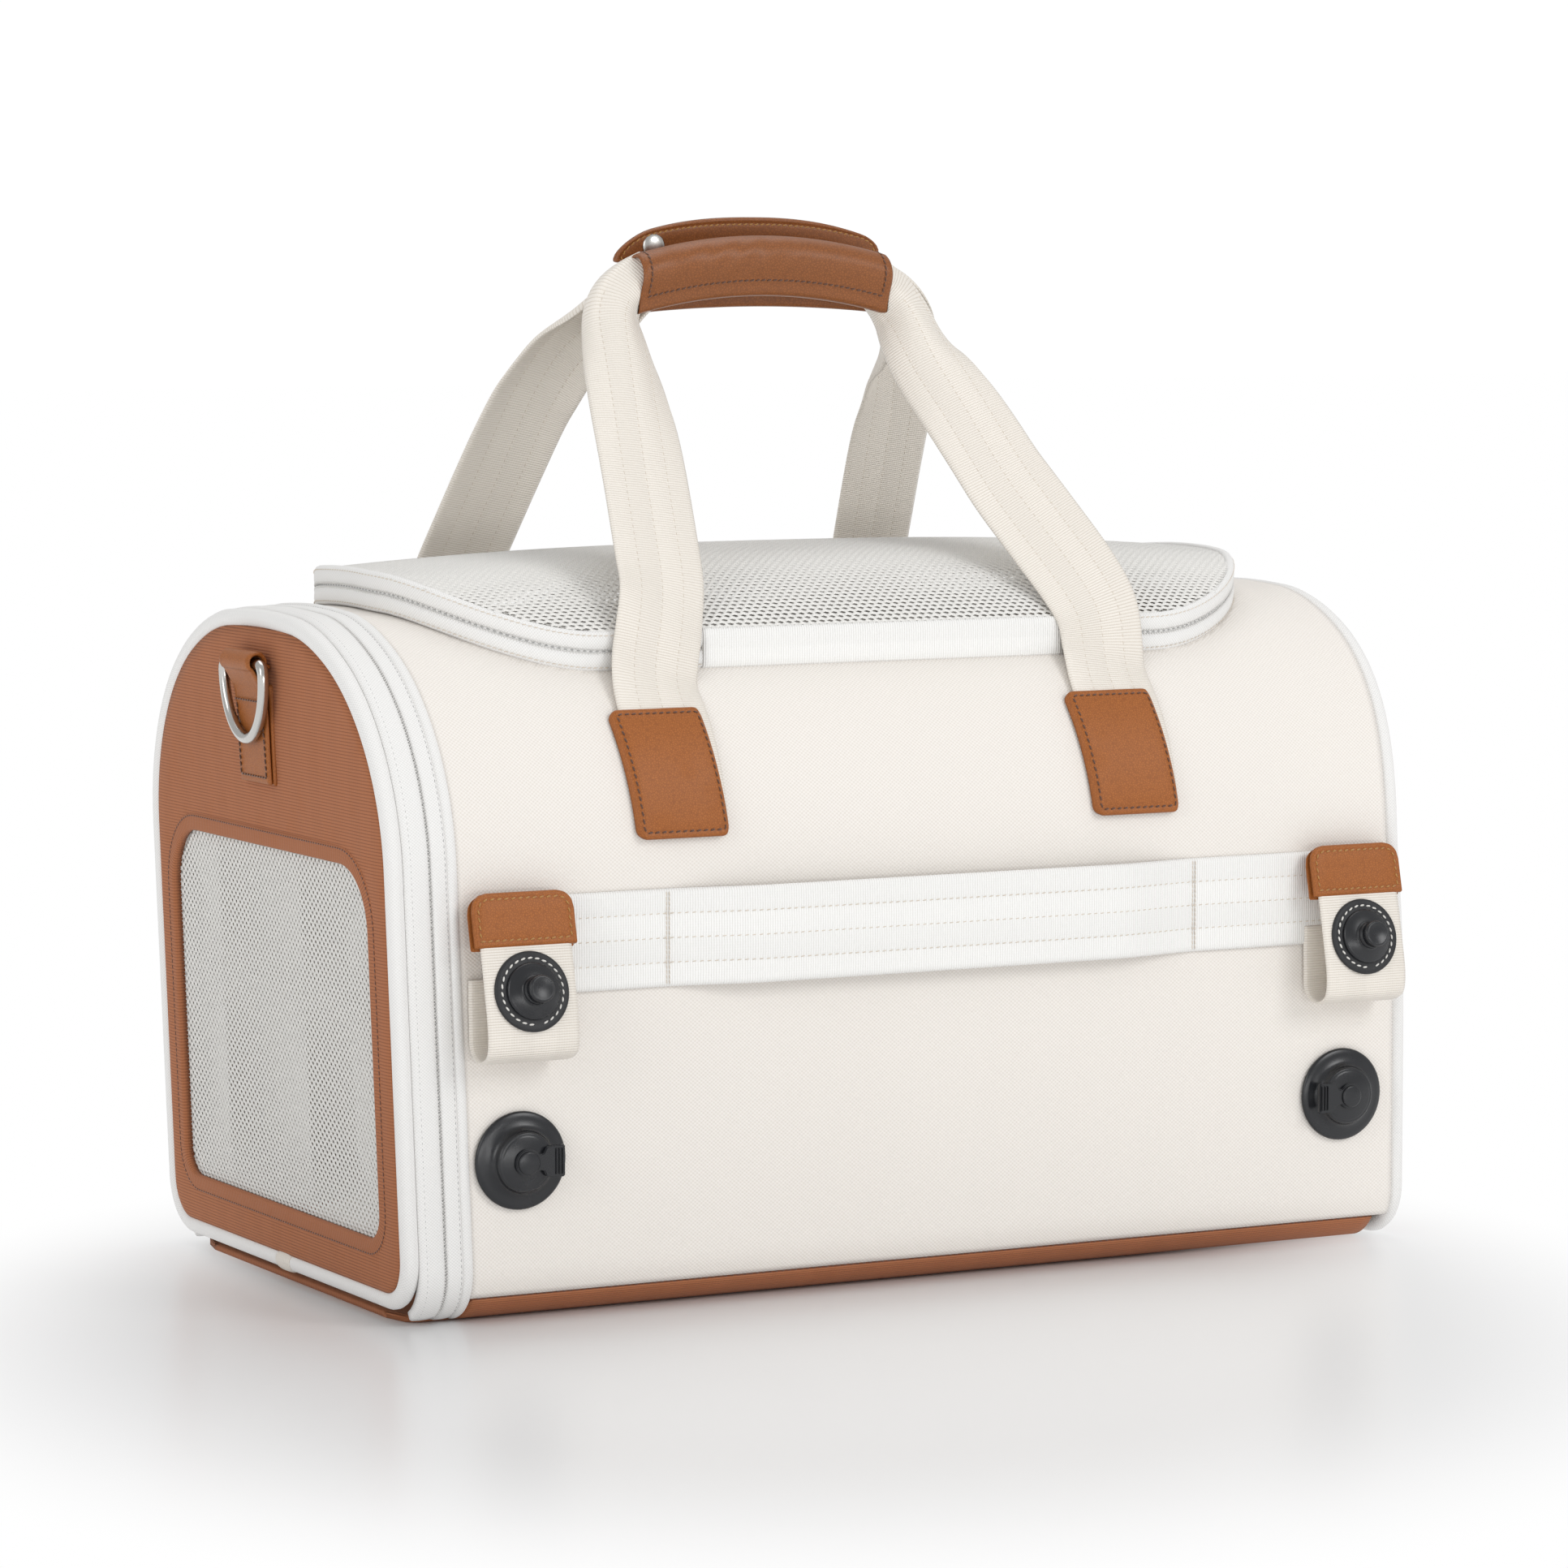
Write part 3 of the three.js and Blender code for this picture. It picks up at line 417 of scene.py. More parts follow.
THREADS = {
    "cream": thread("cream_thread", (0.78, 0.71, 0.62), (0.56, 0.49, 0.41)),
    "gold": thread("gold_thread", (0.55, 0.28, 0.06), (0.25, 0.10, 0.02)),
    "brown": thread("brown_thread", (0.15, 0.05, 0.015), (0.04, 0.012, 0.005)),
    "tan": thread("tan_thread", (0.16, 0.052, 0.02), (0.06, 0.018, 0.008)),
    "white": thread("white_thread", (0.85, 0.84, 0.80), (0.6, 0.58, 0.54)),
    "grey": thread("zip_chain", (0.50, 0.50, 0.49), (0.30, 0.30, 0.30)),
    "coil": thread("zip_coil", (0.80, 0.79, 0.77), (0.56, 0.55, 0.53)),
}
print("materials", len(bpy.data.materials))

# %% [markdown]
# ## Cloth grids
# Every sewn panel here is a grid of points: rows go one way over the panel and columns the other.
# A grid keeps quads tidy, and its own distances give a cloth map in metres, so a weave has its
# true size everywhere and follows the panel's curve. A wall is two grids joined round their rims.

# %% Mesh from grids
def distances(points):
    steps = np.linalg.norm(np.diff(points, axis=0), axis=1)
    return np.concatenate([[0], np.cumsum(steps)])


def linked(name, mesh, material, smooth=True):
    obj = bpy.data.objects.new(name, mesh)
    bpy.context.scene.collection.objects.link(obj)
    mesh.materials.append(material)
    mesh.polygons.foreach_set("use_smooth", [smooth] * len(mesh.polygons))
    return obj


def grid_quads(rows, cols, start, wrap_rows, wrap_cols):
    """Vertex and grid indices of every quad."""
    last_row = rows if wrap_rows else rows - 1
    last_col = cols if wrap_cols else cols - 1
    i, j = np.meshgrid(np.arange(last_row), np.arange(last_col), indexing="ij")
    i, j = i.ravel(), j.ravel()
    at = lambda r, c: start + (r % rows) * cols + (c % cols)
    quads = np.stack([at(i, j), at(i, j + 1), at(i + 1, j + 1), at(i + 1, j)], 1)
    places = np.stack([np.stack([i, j], 1), np.stack([i, j + 1], 1), np.stack([i + 1, j + 1], 1),
                       np.stack([i + 1, j], 1)], 1)
    return quads, places


def rim_quads(rows, cols, size, wrap_rows, wrap_cols):
    """Quads that join the open edges of two stacked grids."""
    quads, places = [], []
    if not wrap_rows:
        for r in (0, rows - 1):
            for c in range(cols if wrap_cols else cols - 1):
                a, b = r * cols + c, r * cols + (c + 1) % cols
                quads.append((a, b, b + size, a + size))
                places.append(((r, c), (r, c + 1), (r, c + 1), (r, c)))
    if not wrap_cols:
        for c in (0, cols - 1):
            for r in range(rows if wrap_rows else rows - 1):
                a, b = r * cols + c, ((r + 1) % rows) * cols + c
                quads.append((a, b, b + size, a + size))
                places.append(((r, c), (r + 1, c), (r + 1, c), (r, c)))
    return np.array(quads, int).reshape(-1, 4), np.array(places, int).reshape(-1, 4, 2)


def closed_again(points, wrap):
    return np.vstack([points, points[:1]]) if wrap else points


def panel(name, outer, material, inner=None, wrap_rows=False, wrap_cols=False, caps=False, second=None):
    """A mesh from one grid, or from two that make a wall. second is the inner grid's material."""
    rows, cols = outer.shape[:2]
    size = rows * cols
    points = outer.reshape(-1, 3)
    quads, places = grid_quads(rows, cols, 0, wrap_rows, wrap_cols)
    slots = np.zeros(len(quads), int)
    if inner is not None:
        points = np.vstack([points, inner.reshape(-1, 3)])
        rim, rim_places = rim_quads(rows, cols, size, wrap_rows, wrap_cols)
        slots = np.concatenate([slots, np.ones(len(quads), int), np.zeros(len(rim), int)])
        quads, places = np.vstack([quads, quads + size, rim]), np.vstack([places, places, rim_places])
    faces = [tuple(q) for q in quads.tolist()]
    ends = []
    if caps:
        ends = [tuple(range(cols)), tuple(range(size - cols, size))]
    mesh = bpy.data.meshes.new(name)
    mesh.from_pydata(points.tolist(), [], faces + ends)
    along = distances(closed_again(outer[:, cols // 2], wrap_rows))
    across = distances(closed_again(outer[rows // 2], wrap_cols))
    uv = np.stack([across[places[..., 1]], along[places[..., 0]]], -1).reshape(-1, 2)
    uv = np.vstack([uv, np.zeros((sum(map(len, ends)), 2))])
    mesh.uv_layers.new(name="cloth").data.foreach_set("uv", uv.ravel())
    obj = linked(name, mesh, material)
    if second is not None and inner is not None:
        mesh.materials.append(second)
        mesh.polygons.foreach_set("material_index", slots.tolist() + [0] * len(ends))
    tidy_normals(mesh)
    return obj


def tidy_normals(mesh):
    """Drops doubles and turns every face outward."""
    work = bmesh.new()
    work.from_mesh(mesh)
    bmesh.ops.remove_doubles(work, verts=work.verts, dist=1e-6)
    bmesh.ops.dissolve_degenerate(work, edges=work.edges, dist=1e-7)
    bmesh.ops.recalc_face_normals(work, faces=work.faces)
    work.to_mesh(mesh)
    work.free()
    mesh.update()


def settle(obj, body, slot, *nodes):
    """Gives a finished piece its body and hides the frame nodes it stands for. slot is not used."""
    if body is not None:
        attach(obj, body)
    if nodes:
        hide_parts(*nodes)
    return obj


def smoothstep(value, low=0.0, high=1.0):
    t = np.clip((np.asarray(value, float) - low) / (high - low), 0, 1)
    return t * t * (3 - 2 * t)


# %% [markdown]
# ## The bag's cross-section
# All walls follow one outline: up the front, over the round shoulder and the flat roof, and down
# the rear. The outline is worked out from arcs and straight runs, with its outward direction at
# every point, so tape, beads and patches are the same outline moved out or in.

# %% Outline and its offsets
def crown(y):
    """The soft rise of the cloth over the middle of the roof."""
    return CROWN * np.clip(1 - (np.asarray(y) / CROWN_REACH) ** 2, 0, 1) ** 2


def half_outline(floor, low_angle, step):
    """Points and outward directions, (y, z), from the lower corner to the roof's middle."""
    def arc(cy, cz, radius, start, stop):
        angles = np.linspace(start, stop, max(3, math.ceil(abs(stop - start) * radius / step) + 1))
        out = np.stack([np.cos(angles), np.sin(angles)], 1)
        return np.array([cy, cz]) + radius * out, out

    def line(start, stop, out):
        count = max(2, math.ceil(math.dist(start, stop) / step) + 1)
        points = np.linspace(start, stop, count)[1:-1]
        return points, np.tile(out, (len(points), 1))

    parts = [
        arc(HALF - CORNER, floor + CORNER, CORNER, low_angle, 0),
        line((HALF, floor + CORNER), (HALF, SPRING_Z), (1, 0)),
        arc(FLAT, SPRING_Z, SHOULDER, 0, math.pi / 2),
        line((FLAT, ROOF_Z), (0, ROOF_Z), (0, 1)),
        (np.array([[0, ROOF_Z]]), np.array([[0.0, 1.0]])),
    ]
    points = np.vstack([p[0] for p in parts])
    points[:, 1] += np.where(points[:, 1] > SPRING_Z, crown(points[:, 0]), 0)
    return points, np.vstack([p[1] for p in parts])


def outline(floor, low_angle, step=3 * MM, closed=False):
    """The outline from the front's lower edge over the roof to the rear's, or all the way round."""
    points, outs = half_outline(floor, low_angle, step)
    if closed:
        count = math.ceil((HALF - CORNER) / step)
        base = np.stack([np.linspace(0, HALF - CORNER, count + 1)[:-1], np.full(count, floor)], 1)
        points = np.vstack([base, points])
        outs = np.vstack([np.tile((0.0, -1.0), (count, 1)), outs])
    flip = np.array([-1, 1])
    other = slice(-2, 0 if closed else None, -1)
    return np.vstack([points * flip, points[other]]), np.vstack([outs * flip, outs[other]])


def swept(x, points, outs, offset):
    """Rows of the outline at given x, moved out by offset. All three may be arrays."""
    flat = points + outs * offset
    return np.column_stack([np.full(len(flat), x), flat])


def lean_door_end(grid, near):
    """Moves the door end of a grid along the door's outward lean."""
    share = smoothstep(-grid[..., 0], -near - 60 * MM, -near)
    grid[..., 0] -= share * (grid[..., 2] - DOOR_PIVOT.z) * math.tan(LEAN)
    return grid


PINCH = 4.5 * MM


def pinch_far_end(grid):
    """The far end's seam is pulled in a little at half height, as a sewn bag's is."""
    share = smoothstep(grid[..., 0], SHELL_END - 70 * MM, SHELL_END)
    dip = np.exp(-(((grid[..., 2] - 185 * MM) / (48 * MM)) ** 2))
    grid[..., 0] -= PINCH * dip * share
    return grid


def soften(grid, depth, scale):
    """Presses a panel in by a slow noise, never out."""
    flat = grid.reshape(-1, 3)
    centre_z = np.minimum(flat[:, 2], SPRING_Z)
    for index, p in enumerate(flat):
        pull = depth * (0.5 + 0.5 * noise.noise(Vector(p) * scale))
        out = Vector((0, p[1], max(p[2] - centre_z[index], 0)))
        if out.length > 0:
            flat[index] -= np.array(out.normalized() * pull)
    return flat.reshape(grid.shape)


# %% [markdown]
# ## Body cloth
# The body is one long panel of cream polyester with a foam core and a lining. It could be five
# flat plates, but a real bag is a skin: so it is one grid wrapped over the outline, with the
# lid's opening cut out of it and its edge drawn onto the lid's plan. The foam keeps the walls
# smooth, and only a slow unevenness shows, so it is pressed in by less than a millimetre.

# %% Lid plan
zip_low, zip_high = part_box("lid_zip_band_body")
LID_X = (zip_low.x, zip_high.x)
LID_HALF = zip_high.y
LID_CORNER = 72 * MM


def lid_distance(x, y, inset=0.0):
    """Signed distance from the lid's plan edge, negative inside, and the way out."""
    middle = (LID_X[0] + LID_X[1]) / 2
    reach = (LID_X[1] - LID_X[0]) / 2 - LID_CORNER
    dx, dy = abs(x - middle) - reach, abs(y) - (LID_HALF - LID_CORNER)
    outside = Vector((max(dx, 0), max(dy, 0)))
    distance = outside.length + min(max(dx, dy), 0) - LID_CORNER + inset
    way = outside.normalized() if outside.length > 0 else Vector((1, 0) if dx > dy else (0, 1))
    return distance, Vector((math.copysign(way.x, x - middle), math.copysign(way.y, y)))


# %% Build the body cloth
low_angle = math.asin((LIP_Z - CORNER) / CORNER)
points, outs = outline(0, low_angle, 2.6 * MM)
columns = np.linspace(shell_low.x + 10 * MM, SHELL_END, 168)
columns[0] = -200 * MM


def body_grid(offset):
    grid = np.stack([swept(x, points, outs, offset) for x in columns], 1)
    return pinch_far_end(lean_door_end(grid, -200 * MM))


body_cloth = panel("body_cloth", soften(body_grid(0), 0.7 * MM, 14), CREAM)
work = bmesh.new()
work.from_mesh(body_cloth.data)
CUT = 2 * MM
inside = [f for f in work.faces if f.calc_center_median().z > SPRING_Z
          and lid_distance(*f.calc_center_median().xy, CUT)[0] < 0]
bmesh.ops.delete(work, geom=inside, context="FACES")
for vertex in [v for v in work.verts if v.is_boundary and v.co.z > SPRING_Z]:
    distance, way = lid_distance(*vertex.co.xy, CUT)
    if abs(distance) < 5 * MM:
        vertex.co.xy -= way * distance
        beyond = max(abs(vertex.co.y) - FLAT, 0)
        vertex.co.z = SPRING_Z + math.sqrt(SHOULDER**2 - beyond**2) + float(crown(vertex.co.y))
work.to_mesh(body_cloth.data)
work.free()
body_cloth.data.materials.append(LINING)
wall = body_cloth.modifiers.new("wall", "SOLIDIFY")
wall.thickness = WALL
wall.offset = -1
wall.material_offset = 1
wall.material_offset_rim = 0
settle(body_cloth, "body", "cream_fabric", "shell_front", "shell_rear")
print("body cloth faces", len(body_cloth.data.polygons))

# %% [markdown]
# ## Sewing
# Stitches are real thread, and thousands of them are needed. A Geometry Nodes tree sets one small
# grain of thread on every seed point. The seeds carry two directions, `along` the seam and
# `facing` out of the cloth, so the same tree sews flat seams, curved ones and the teeth of a zip.
# Seams are only noted here, and they are grown at the end, one mesh for each body and thread.

# %% The sewing tree
def geometry_tree(name, inputs):
    tree = bpy.data.node_groups.new(name, "GeometryNodeTree")
    tree.interface.new_socket("Geometry", in_out="INPUT", socket_type="NodeSocketGeometry")
    for label, kind in inputs:
        tree.interface.new_socket(label, in_out="INPUT", socket_type="NodeSocket" + kind)
    tree.interface.new_socket("Geometry", in_out="OUTPUT", socket_type="NodeSocketGeometry")
    return tree, put(tree, "NodeGroupInput").outputs


def named_vector(tree, name):
    node = put(tree, "GeometryNodeInputNamedAttribute", data_type="FLOAT_VECTOR")
    node.inputs["Name"].default_value = name
    return node.outputs["Attribute"]


def make_sewing_tree():
    tree, given = geometry_tree("sewing", [("Length", "Float"), ("Width", "Float"), ("Height", "Float"),
                                           ("Slant", "Float"), ("Thread", "Material")])
    grain = put(tree, "GeometryNodeMeshUVSphere", {"Segments": 6, "Rings": 4, "Radius": 0.5})
    aim = put(tree, "FunctionNodeAlignRotationToVector", {"Vector": named_vector(tree, "along")}, axis="X")
    face = put(tree, "FunctionNodeAlignRotationToVector",
               {"Rotation": aim.outputs[0], "Vector": named_vector(tree, "facing")}, axis="Z", pivot_axis="X")
    lean = put(tree, "FunctionNodeAxisAngleToRotation", {"Axis": (0, 0, 1), "Angle": given["Slant"]})
    turned = put(tree, "FunctionNodeRotateRotation",
                 {"Rotation": face.outputs[0], "Rotate By": lean.outputs[0]}, rotation_space="LOCAL")
    size = put(tree, "ShaderNodeCombineXYZ", {0: given["Length"], 1: given["Width"], 2: given["Height"]})
    sown = put(tree, "GeometryNodeInstanceOnPoints", {
        "Points": given["Geometry"], "Instance": grain.outputs[0], "Rotation": turned.outputs[0],
        "Scale": size.outputs[0]})
    real = put(tree, "GeometryNodeRealizeInstances", {0: sown.outputs[0]})
    dyed = put(tree, "GeometryNodeSetMaterial", {"Geometry": real.outputs[0], "Material": given["Thread"]})
    put(tree, "NodeGroupOutput", {0: dyed.outputs[0]})
    return tree


SEWING = make_sewing_tree()


def grow(name, tree, seeds, values):
    """Runs a tree on a seed mesh and returns its result as a plain mesh object."""
    source = bpy.data.objects.new(name + "_seeds", seeds)
    bpy.context.scene.collection.objects.link(source)
    modifier = source.modifiers.new("grow", "NODES")
    modifier.node_group = tree
    for item in tree.interface.items_tree:
        if item.in_out == "INPUT" and item.name in values:
            modifier[item.identifier] = values[item.name]
    evaluated = source.evaluated_get(bpy.context.evaluated_depsgraph_get())
    mesh = bpy.data.meshes.new_from_object(evaluated)
    mesh.name = name
    bpy.data.objects.remove(source)
    obj = bpy.data.objects.new(name, mesh)
    bpy.context.scene.collection.objects.link(obj)
    mesh.polygons.foreach_set("use_smooth", [True] * len(mesh.polygons))
    return obj


# %% Noting seams
SEAMS = {}


def even(points, facings, pitch):
    """Places at an even pitch along a seam, with their directions."""
    points, facings = np.asarray(points, float), np.asarray(facings, float)
    run = distances(points)
    count = max(2, round(run[-1] / pitch))
    at = (np.arange(count) + 0.5) * run[-1] / count
    place = np.stack([np.interp(at, run, points[:, k]) for k in range(3)], 1)
    ahead = np.stack([np.interp(at + pitch * 0.3, run, points[:, k]) for k in range(3)], 1)
    behind = np.stack([np.interp(at - pitch * 0.3, run, points[:, k]) for k in range(3)], 1)
    facing = np.stack([np.interp(at, run, facings[:, k]) for k in range(3)], 1)
    return place, ahead - behind, facing


def sew(carrier, kind, points, facings, pitch=2.8 * MM, lift=0.0):
    """Notes a seam. carrier is a body, or a strap; kind is a row of STITCHES."""
    facings = np.broadcast_to(np.asarray(facings, float), np.shape(points))
    place, along, facing = even(points, facings, pitch)
    SEAMS.setdefault((carrier, kind), []).append((place + facing * lift, along, facing))


# Thread, length, width, height in millimetres and slant in degrees of each kind of stitch.
STITCHES = {
    "cream": ("cream", 2.0, 0.5, 0.45, 8),
    "grey": ("grey", 1.5, 0.34, 0.36, 0),
    "tan": ("tan", 1.9, 0.65, 0.55, 8),
    "gold": ("gold", 2.3, 0.75, 0.7, 16),
    "brown": ("brown", 2.3, 0.85, 0.7, 12),
    "white": ("white", 2.3, 0.85, 0.8, 10),
    "chain": ("grey", 1.6, 0.55, 0.6, 0),
    "coil": ("coil", 0.62, 1.5, 0.9, 0),
}


def seeds_of(seams):
    place, along, facing = (np.vstack([s[k] for s in seams]) for k in range(3))
    mesh = bpy.data.meshes.new("seeds")
    mesh.from_pydata(place.tolist(), [], [])
    for name, values in (("along", along), ("facing", facing)):
        mesh.attributes.new(name, "FLOAT_VECTOR", "POINT").data.foreach_set("vector", values.ravel())
    return mesh


print("kinds of stitch", len(STITCHES))

# %% [markdown]
# ## Base
# The base is a shallow tray of tan ribbed cloth that folds up round the lower corners, with a
# rolled seam where it meets the cream cloth. It reaches under the door, where the door folds down
# on it.

# %% Base cover
base_low, base_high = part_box("base_panel")
TRAY_LIP = LIP_Z - 0.6 * MM


def tray_profile(offset):
    """Half of the tray's section from the middle of the base to its lip."""
    lip_angle = math.asin((TRAY_LIP - CORNER) / CORNER)
    angles = np.linspace(-math.pi / 2, lip_angle, 12)
    radius = CORNER + offset
    arc = np.stack([HALF - CORNER + radius * np.cos(angles), CORNER + radius * np.sin(angles)], 1)
    flat = np.stack([np.linspace(0, HALF - CORNER, 20)[:-1], np.full(19, -offset)], 1)
    return np.vstack([flat, arc])


def tray(offset):
    half = tray_profile(offset)
    whole = np.vstack([half[:0:-1] * [-1, 1], half])
    xs = np.concatenate([np.linspace(base_low.x, -202 * MM, 8), np.linspace(-199 * MM, base_high.x - 1 * MM,
                                                                            90)])
    grid = np.stack([np.column_stack([np.full(len(whole), x), whole]) for x in xs], 0)
    under_door = xs < -200 * MM
    reach = HALF - CORNER + 4 * MM
    grid[under_door, :, 2] = np.minimum(grid[under_door, :, 2], 2.6 * MM)
    corner = np.maximum(-214 * MM - grid[..., 0], 0) / (base_low.x + 214 * MM)
    reach = reach - 16 * MM * (1 - np.sqrt(np.clip(1 - corner**2, 0, 1)))
    grid[..., 1] = np.where(under_door[:, None], np.clip(grid[..., 1], -reach, reach), grid[..., 1])
    return grid


outer = tray(0)
inner = tray(-2.2 * MM)
inner[..., 2] = np.maximum(inner[..., 2], outer[..., 2] + 0.4 * MM)
base_cover = panel("base_cover", outer.transpose(1, 0, 2), TAN, inner.transpose(1, 0, 2))
settle(base_cover, "body", "tan_fabric", "base_panel")

lip = tray_profile(0)[-1]
for side in (-1, 1):
    seam = np.column_stack([np.linspace(-198 * MM, SHELL_END - 8 * MM, 60), np.full(60, side * lip[0]),
                            np.full(60, lip[1])])
    sew("body", "tan", seam, (0, side * 0.95, -0.3), lift=-0.3 * MM)
print("base cover", base_low.x, base_high.x)

# %% [markdown]
# ## Beads, tapes and the door zip
# Round the door runs a covered cord, the bead, then the door's half of the zip, the chain, and the
# bag's half with a bound edge. Each is a small profile swept round the outline. The door leans
# outward, so they are drawn upright in the door's own plane and then placed with its lean.

# %% Door plane
lean_matrix = Matrix.Translation(DOOR_PIVOT) @ Matrix.Rotation(-LEAN, 4,
        "Y") @ Matrix.Translation((0, 0, -DOOR_PIVOT.z))


def on_door(grid):
    """Puts points drawn in the door's upright plane in their leaning place."""
    flat = grid.reshape(-1, 3)
    turn = np.array(lean_matrix)
    return (flat @ turn[:3, :3].T + turn[:3, 3]).reshape(grid.shape)


def ring_of(profile, points, outs):
    """A profile of (x, offset) pairs swept round an outline. Columns follow the profile."""
    rows = [np.column_stack([np.full(len(points), x), points + outs * out]) for x, out in profile]
    return np.stack(rows, 1)


def round_profile(x, out, half_x, half_out, count=14, start=0.0):
    angles = start + np.arange(count) * math.tau / count
    return [(x + half_x * math.cos(a), out + half_out * math.sin(a)) for a in angles]


def tape_profile(x0, x1, thick, crown, edge=0.7 * MM):
    """A flat tape with rounded edges and a slightly raised middle."""
    xs = np.linspace(x0 + edge, x1 - edge, 7)
    tops = [(x, crown * math.sin(math.pi * (x - x0) / (x1 - x0))) for x in xs]
    return [(x0, -edge), *tops, (x1, -edge), (x1, -thick), (x0, -thick)]


DOOR_FLOOR = DOOR_PIVOT.z + 0.2 * MM
ring_points, ring_outs = outline(DOOR_FLOOR, -math.pi / 2, 3 * MM, closed=True)
bead_profile = round_profile(-2.4 * MM, -BEAD / 2, 3.7 * MM, BEAD / 2)
door_bead = panel("door_bead", on_door(ring_of(bead_profile, ring_points, ring_outs)), TAPE,
                  wrap_rows=True, wrap_cols=True)
settle(door_bead, "door", "zip_tape", "door_piping")

door_from = math.radians(-64)
body_from = math.radians(-83)
door_line, door_outs = outline(0, door_from)
body_line, body_outs = outline(0, body_from)

door_tape_profile = tape_profile(0.4 * MM, 10.7 * MM, 3.6 * MM, 0.35 * MM)
door_tape = panel("door_zip_tape", on_door(ring_of(door_tape_profile, door_line, door_outs)), TAPE,
                  wrap_cols=True, caps=True)
settle(door_tape, "door", "zip_tape", "door_zip_ring")

body_tape_profile = tape_profile(11.5 * MM, 18.4 * MM, 3.6 * MM, 0.3 * MM)
body_tape = panel("body_zip_tape", on_door(ring_of(body_tape_profile, body_line, body_outs)), TAPE,
                  wrap_cols=True, caps=True)
settle(body_tape, "body", "zip_tape", "body_zip_ring")

binding_profile = round_profile(20.2 * MM, -1.3 * MM, 2.4 * MM, 2.0 * MM)
body_binding = panel("body_zip_binding", on_door(ring_of(binding_profile, body_line, body_outs)), TAPE,
                     wrap_cols=True, caps=True)
settle(body_binding, "body", "zip_tape")


def note_ring(carrier, kind, line, outs, x, out, pitch):
    flat = line + outs * out
    points = on_door(np.column_stack([np.full(len(flat), x), flat]))
    facings = np.column_stack([np.zeros(len(outs)), outs])
    sew(carrier, kind, points, facings, pitch)


chain_profile = [(10.3 * MM, -1.0 * MM), (11.9 * MM, -1.0 * MM), (11.9 * MM, -2.6 * MM),
                 (10.3 * MM, -2.6 * MM)]
door_chain = panel("door_zip_chain", on_door(ring_of(chain_profile, body_line, body_outs)), TAPE,
                   wrap_cols=True, caps=True)
settle(door_chain, "body", "zip_tape")
note_ring("door", "grey", door_line, door_outs, 3.1 * MM, 0.12 * MM, 2.3 * MM)
note_ring("body", "grey", body_line, body_outs, 17.3 * MM, 0.12 * MM, 2.3 * MM)
note_ring("body", "chain", body_line, body_outs, 11.1 * MM, -0.8 * MM, 2.6 * MM)
note_ring("door", "coil", door_line, door_outs, 10.55 * MM, -0.55 * MM, 1.25 * MM)
note_ring("body", "coil", body_line, body_outs, 11.65 * MM, -0.55 * MM, 1.25 * MM)
print("door ring rows", len(ring_points))

# %% [markdown]
# A short wrap of webbing covers the join of the bead at the middle of the door's lower edge. It is
# a sleeve a little thicker than the bead, with soft ends.

# %% Bead wrap
WRAP_HALF = 7 * MM
wrap_rows = []
for y in np.linspace(-WRAP_HALF, WRAP_HALF, 13):
    swell = 0.75 * MM * (1 - abs(y / WRAP_HALF) ** 4)
    ring = round_profile(-2.4 * MM, 0, 3.75 * MM + swell, BEAD / 2 + swell, 18)
    wrap_rows.append([(x, y, DOOR_FLOOR + BEAD / 2 + z) for x, z in ring])
bead_wrap = panel("bead_wrap", on_door(np.array(wrap_rows)), WEB, wrap_cols=True, caps=True)
settle(bead_wrap, "door", "cream_webbing", "piping_join")

# %% [markdown]
# The fixed end has the same bead. Its seam is pulled in at half height with the body cloth.

# %% Far bead
far_profile = round_profile(SHELL_END + 3.6 * MM, -BEAD / 2, 3.5 * MM, BEAD / 2)
far_points, far_outs = outline(0.4 * MM, -math.pi / 2, 3 * MM, closed=True)
far_bead = panel("end_bead", pinch_far_end(ring_of(far_profile, far_points, far_outs)), TAPE,
                 wrap_rows=True, wrap_cols=True)
settle(far_bead, "body", "zip_tape", "end_piping")

# %% [markdown]
# ## End panels with their windows
# Each end is a tan panel with a window of spacer mesh. The panel is drawn as rings that go from
# the bead to the window's edge, so that its ribs run level through the rings it gets a flat map
# of its own, and it is slightly puffed between its seams. A folded binding with a row of stitches
# frames the window.

# %% Window outline and panel
WINDOW = {"half": 98 * MM, "low": 31 * MM, "high": 176 * MM, "top": 25 * MM, "bottom": 12 * MM}


def window_outline(grow_by, count=240):
    """The window's rounded outline, (y, z), with its outward directions."""
    half, low, high = WINDOW["half"] + grow_by, WINDOW["low"] - grow_by, WINDOW["high"] + grow_by
    top, bottom = WINDOW["top"] + grow_by, WINDOW["bottom"] + grow_by
    points, outs = [], []
    for cy, cz, radius, start in ((half - bottom, low + bottom, bottom, -90),
                                  (half - top, high - top, top, 0),
                                  (-half + top, high - top, top, 90), (-half + bottom, low + bottom, bottom,
                                                                       180)):
        for angle in np.radians(np.linspace(start, start + 90, 13)):
            outs.append((math.cos(angle), math.sin(angle)))
            points.append((cy + radius * outs[-1][0], cz + radius * outs[-1][1]))
    points, outs = np.array(points + points[:1]), np.array(outs + outs[:1])
    run = distances(points)
    at = np.linspace(0, run[-1], count + 1)[:-1]
    even_points = np.stack([np.interp(at, run, points[:, k]) for k in (0, 1)], 1)
    even_outs = np.stack([np.interp(at, run, outs[:, k]) for k in (0, 1)], 1)
    return even_points, even_outs / np.linalg.norm(even_outs, axis=1, keepdims=True)


